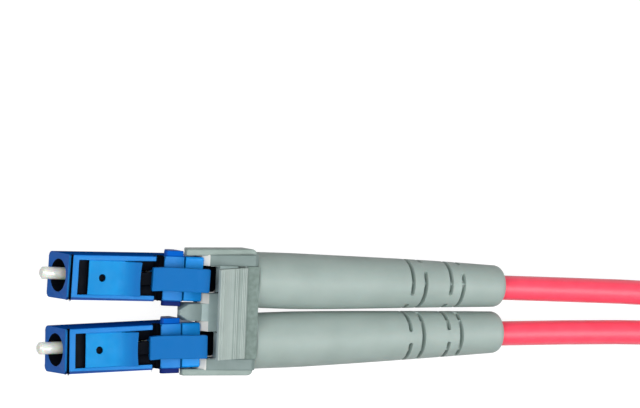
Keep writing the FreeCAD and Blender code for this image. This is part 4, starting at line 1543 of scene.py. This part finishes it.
# --- Cords and ties ----------------------------------------------------------------------------------------
@dataclass
class CordPair:
    """Both cords: from the crimp sleeves through the boots, along the floor and round one coil.

    Sizes are in metres, turns in degrees, and the two rears in millimetres in the plug's own frame. A route is
    the points between the sleeve and the coil.
    """

    finishes: Finishes
    diameter: float = 0.0024
    swell: float = 0.00005
    real_length: float = 1.0
    coil_centre: tuple[float, float] = (0.074, 0.0103)
    lowest: float = 0.0016
    outer_turn: float = 0.0144
    inner_turn: float = 0.0096
    outer_degrees: float = 2130.0
    ramp_degrees: float = 90.0
    ramp_rise: float = 0.00205
    crossing_degrees: float = 150.0
    inner_degrees: dict[Side, float] = field(default_factory=lambda: {Side.A: 2265.0, Side.B: 2085.0})
    points_per_turn: int = 24
    routes: tuple[tuple[Side, tuple[tuple[float, float, float], ...]], ...] = (
        (Side.A, ((0.0293, 0.00224, 0.00287), (0.0524, 0.00145, 0.0021), (0.067, -0.0019, 0.0015))),
        (Side.B, ((0.0293, -0.00224, 0.00287), (0.0524, -0.0024, 0.0021), (0.067, -0.0047, 0.0015))),
    )
    sleeve_rear: float = 31.0
    boot_rear: float = 50.7

    def coil(self, side: Side) -> np.ndarray:
        """Control points of one cord's turns.

        The cords lie side by side and wind together, b outside a. They climb one diameter in each turn on
        the outer radius, rise a little more over the last quarter turn, cross to the inner radius over the
        top and go down one diameter in each turn. The extra rise and the crossing are eased. The radius is
        divided by cos(half a step), because the spline passes inside its control points by that share.

        Args:
            side: which cord.

        Returns:
            Array of points by 3, in metres.
        """
        step = 360 / self.points_per_turn
        crossed = self.outer_degrees + self.crossing_degrees
        wound = np.arange(0, crossed + self.inner_degrees[side] + step / 2, step)
        up = np.minimum(wound, self.outer_degrees)
        down = np.maximum(wound - self.outer_degrees, 0)
        past = wound - self.outer_degrees
        ramp = self.ramp_rise * eased((past + self.ramp_degrees) / self.ramp_degrees)
        height = self.lowest + self.diameter * (up - down) / 360 + ramp
        inwards = (self.outer_turn - self.inner_turn) * eased(past / self.crossing_degrees)
        offset = self.diameter * (0.5 if side is Side.B else -0.5)
        radius = (self.outer_turn - inwards + offset) / math.cos(math.radians(step / 2))
        angle = np.radians(wound - 90)
        x = self.coil_centre[0] + radius * np.cos(angle)
        y = self.coil_centre[1] + radius * np.sin(angle)
        return np.stack([x, y, height], -1)

    def build(self) -> list[Object]:
        """Builds both cords as one smooth spline each, with round ends.

        Returns:
            The two cords.
        """
        cords = []
        for side, route in self.routes:
            plug = PlugFrame.of(side)
            start = plug.place(np.array([self.sleeve_rear, 0.0, 0.0]))
            mouth = plug.place(np.array([self.boot_rear, 0.0, 0.0]))
            points = np.concatenate([[start], route, self.coil(side)])
            curve = bpy.data.curves.new(f"cord_{side.value}_jacket", "CURVE")
            curve.dimensions, curve.resolution_u, curve.use_fill_caps = "3D", 4, True
            # The points' radius carries the size, because Blender adds it to the curve's box.
            curve.bevel_depth, curve.bevel_resolution = 1.0, 6
            spline = curve.splines.new("NURBS")
            spline.points.add(len(points) - 1)
            spline.points.foreach_set("co", np.c_[points, np.ones(len(points))].ravel())
            # The jacket is a little swollen where it leaves the boot.
            swell = np.zeros(len(points))
            swell[:len(route)] = self.swell
            spline.points.foreach_set("radius", self.diameter / 2 + swell)
            spline.order_u = 3
            spline.use_endpoint_u = True
            piece = placed(f"cord_{side.value}_jacket", curve)
            nodes = [f"cord_{side.value}"] + (["cord_coil"] if side is Side.A else [])
            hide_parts(*nodes)
            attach(piece, "connector")
            self.finishes.dress(piece, "cord_jacket")
            cords.append(piece)
        return cords


@dataclass
class CoilTie:
    """A hook and loop band round the coiled cords, whose free end lies over its start on the outer side.

    Its sizes are in metres and its angle in degrees round the coil. Inner and outer radius are the bundle's.
    """

    number: int
    angle: float
    finishes: Finishes
    centre: tuple[float, float] = (0.074, 0.0103)
    inner_r: float = 0.0072
    outer_r: float = 0.0168
    bottom: float = 0.0004
    top: float = 0.019
    corner: float = 0.0012
    thick: float = 0.00035
    width: float = 0.003
    lap: float = 0.099
    # Gaps to the cords and between the band's layers, then the lift's start and length in shares of its way.
    gap: float = 0.00003
    layer_gap: float = 0.00002
    lift_from: float = 0.985
    lift_span: float = 0.05

    def path(self, share: np.ndarray) -> tuple[np.ndarray, np.ndarray]:
        """Place and outward direction on the bundle's rounded rectangle, by the share of the way round.

        Each side and each quarter circle takes its own length of the way. Past one whole way round, the place
        goes on over the first stretch.

        Args:
            share: ways round, from 0.

        Returns:
            Points and unit normals, each count by 2, as (radius from the coil's axis, height).
        """
        r = self.corner
        low, high = np.array([self.inner_r, self.bottom]) + r, np.array([self.outer_r, self.top]) - r
        corners = [np.array([high[0], low[1]]), high, np.array([low[0], high[1]]), low]
        # It starts at the lower end of the outer side and runs up, in, down and out.
        points, normals = [], []
        for index, centre in enumerate(corners):
            following, turn = corners[(index + 1) % 4], 90 * index
            normal = np.array([math.cos(math.radians(turn)), math.sin(math.radians(turn))])
            side = np.linspace(0, 1, 24, endpoint=False)[:, None]
            bend = np.radians(turn + np.linspace(0, 90, 8, endpoint=False))
            around = np.stack([np.cos(bend), np.sin(bend)], -1)
            points += [centre + normal * r + (following - centre) * side, following + around * r]
            normals += [np.repeat(normal[None], 24, 0), around]
        points, normals = np.concatenate(points), np.concatenate(normals)
        closed = np.concatenate([points, points[:1]])
        run = np.concatenate([[0], np.cumsum(np.linalg.norm(np.diff(closed, axis=0), axis=1))])
        wanted = (share % 1.0) * run[-1]
        closed_normals = np.concatenate([normals, normals[:1]])
        place = np.stack([np.interp(wanted, run, closed[:, k]) for k in (0, 1)], -1)
        facing = np.stack([np.interp(wanted, run, closed_normals[:, k]) for k in (0, 1)], -1)
        return place, facing / np.linalg.norm(facing, axis=1)[:, None]

    def build(self) -> Object:
        """Builds the band: a flat rounded section carried along the path, lifted over its own start.

        Returns:
            The band's object.
        """
        share = np.linspace(0.01, 1 + self.lap, 260)
        place, facing = self.path(share)
        lift = self.gap + (self.thick + self.layer_gap) * eased((share - self.lift_from) / self.lift_span)
        half, edge = self.width / 2, self.thick / 2
        section = np.concatenate([
            arc((half - edge, edge), edge, -90, 90, 7), arc((-half + edge, edge), edge, 90, 270, 7)])
        outward = lift[:, None] + section[None, :, 1]
        rz = place[:, None, :] + facing[:, None, :] * outward[..., None]
        angle = math.radians(self.angle)
        radial = np.array([math.cos(angle), math.sin(angle)])
        tangent = np.array([-math.sin(angle), math.cos(angle)])
        across = np.repeat(section[None, :, 0], len(share), 0)
        xy = np.array(self.centre) + rz[..., :1] * radial + across[..., None] * tangent
        points = np.concatenate([xy, rz[..., 1:]], -1)
        length = np.concatenate([[0], np.cumsum(np.linalg.norm(np.diff(place, axis=0), axis=1))])
        uv = np.stack([np.repeat(length[:, None], points.shape[1], 1), across], -1)
        points = drawn_together(points)
        uv = np.concatenate([uv[:1], uv, uv[-1:]])
        piece = object_from_grid(f"hook_and_loop_band_{self.number}", points, uv=uv)
        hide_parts(f"coil_tie_{self.number}")
        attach(piece, "connector")
        self.finishes.dress(piece, "tie_fabric")
        return piece


# --- Studio ------------------------------------------------------------------------------------------------
@dataclass
class Studio:
    """Pale floor, soft lamps and the camera. Its sizes are in metres and its angles in degrees."""

    target: tuple[float, float, float] = (0.00529, 0.0108, 0.0029)
    tilt: float = 28.5
    lean: float = 4.5
    roll: float = 0.126
    distance: float = 1.8
    view_width: float = 0.06484297
    sensor: float = 36.0
    floor_half: float = 1.0
    glow: float = 0.92
    sky_light: float = 0.2
    # Name, place and side in metres, and watts.
    lamps: tuple[tuple[str, tuple[float, float, float], float, float], ...] = (
        ("key", (0.5, -0.12, 0.8), 0.5, 5.2), ("top", (-0.1, -0.05, 1.0), 0.7, 4.5),
        ("fill", (-0.75, 0.1, 0.6), 0.6, 4.6))

    def camera(self) -> Object:
        """Places a long lens that looks down on the connector, tilted towards its nose.

        The lens's length is the sensor's width times the distance over the width in view.

        Returns:
            The camera.
        """
        data = bpy.data.cameras.new("camera")
        data.sensor_width = self.sensor
        data.lens = self.sensor * self.distance / self.view_width
        data.clip_end = 50.0
        tilt, lean = math.radians(self.tilt), math.radians(self.lean)
        back = Vector((-math.sin(tilt), math.cos(tilt) * math.sin(lean), math.cos(tilt) * math.cos(lean)))
        up = Vector((1, 0, 0)).cross(back).normalized() * -1
        right = up.cross(back)
        camera = placed("camera", data)
        turn = Matrix((right, up, back)).transposed().to_4x4()
        turn = turn @ Matrix.Rotation(math.radians(self.roll), 4, "Z")
        camera.matrix_world = Matrix.Translation(Vector(self.target) + back * self.distance) @ turn
        bpy.context.scene.camera = camera
        return camera

    def lamp(self, name: str, place: tuple[float, float, float], size: float, power: float) -> Object:
        """Adds a square soft lamp that faces the connector.

        Args:
            name: the lamp's name.
            place: where it hangs, in metres.
            size: its side in metres.
            power: in watts.

        Returns:
            The lamp.
        """
        data = bpy.data.lights.new(name, "AREA")
        data.size = size
        data.energy = power
        lamp = placed(name, data)
        lamp.location = place
        lamp.rotation_euler = (Vector(self.target) - Vector(place)).to_track_quat("-Z", "Y").to_euler()
        return lamp

    def floor(self) -> Object:
        """Lays a large matt floor that is white to the camera and keeps the connector's soft shadow.

        Returns:
            The floor.
        """
        corners = self.floor_half * np.array([[[-1, -1, 0], [1, -1, 0]], [[-1, 1, 0], [1, 1, 0]]], float)
        piece = object_from_grid("floor", corners, closed_columns=False)
        material, tree, output = new_material("matt_white_card")
        ray = add_node(tree, "ShaderNodeLightPath")
        seen = ray.outputs["Is Camera Ray"]
        for kind in ("Is Glossy Ray", "Is Transmission Ray"):
            seen = combined(tree, "MAXIMUM", seen, ray.outputs[kind])
        card = add_node(tree, "ShaderNodeBsdfDiffuse", None, {"Color": from_hex("787878")})
        glow = add_node(tree, "ShaderNodeEmission", None, {
            "Color": from_hex("FFFFFF"), "Strength": combined(tree, "MULTIPLY", seen, self.glow)})
        both = add_node(tree, "ShaderNodeAddShader", None, {0: card.outputs[0], 1: glow.outputs[0]})
        tree.links.new(both.outputs[0], output.inputs[0])
        piece.data.materials.append(material)
        return piece

    def world(self) -> None:
        """Lights everything evenly, with a plain white sky for the camera and for reflections."""
        world = bpy.data.worlds.new("sky")
        bpy.context.scene.world = world
        world.use_nodes = True
        tree = world.node_tree
        tree.nodes.clear()
        output = add_node(tree, "ShaderNodeOutputWorld")
        ray = add_node(tree, "ShaderNodeLightPath")
        strength = add_node(tree, "ShaderNodeMapRange", None, {
            "Value": ray.outputs["Is Camera Ray"], "To Min": self.sky_light, "To Max": 1.0})
        sky = add_node(tree, "ShaderNodeBackground", None, {
            "Color": from_hex("FFFFFF"), "Strength": strength.outputs["Result"]})
        tree.links.new(sky.outputs[0], output.inputs[0])

    def build(self) -> None:
        """Builds the studio and sets how colours are shown."""
        self.floor()
        self.world()
        for lamp in self.lamps:
            self.lamp(*lamp)
        self.camera()
        bpy.context.scene.view_settings.view_transform = "Standard"


def report(pieces: Sequence[Object]) -> None:
    """Logs each piece's name and its number of points.

    Args:
        pieces: the new objects.
    """
    for piece in pieces:
        count = len(piece.data.vertices) if piece.type == "MESH" else len(piece.data.splines[0].points)
        LOG.info("%s: %d points", piece.name, count)


def main() -> None:
    """Builds the studio and every piece."""
    logging.basicConfig(level=logging.INFO, format="%(name)s: %(message)s")
    Studio().build()
    finishes = Finishes()
    report(CordPair(finishes).build())
    for side in Side:
        report(Plug(side, finishes).build())
        report([Boot(side, finishes).build()])
    report(Clip(finishes).build())
    report([CoilTie(1, 60.0, finishes).build(), CoilTie(2, 200.0, finishes).build()])
    bpy.context.view_layer.update()


if __name__ == "__main__":
    main()
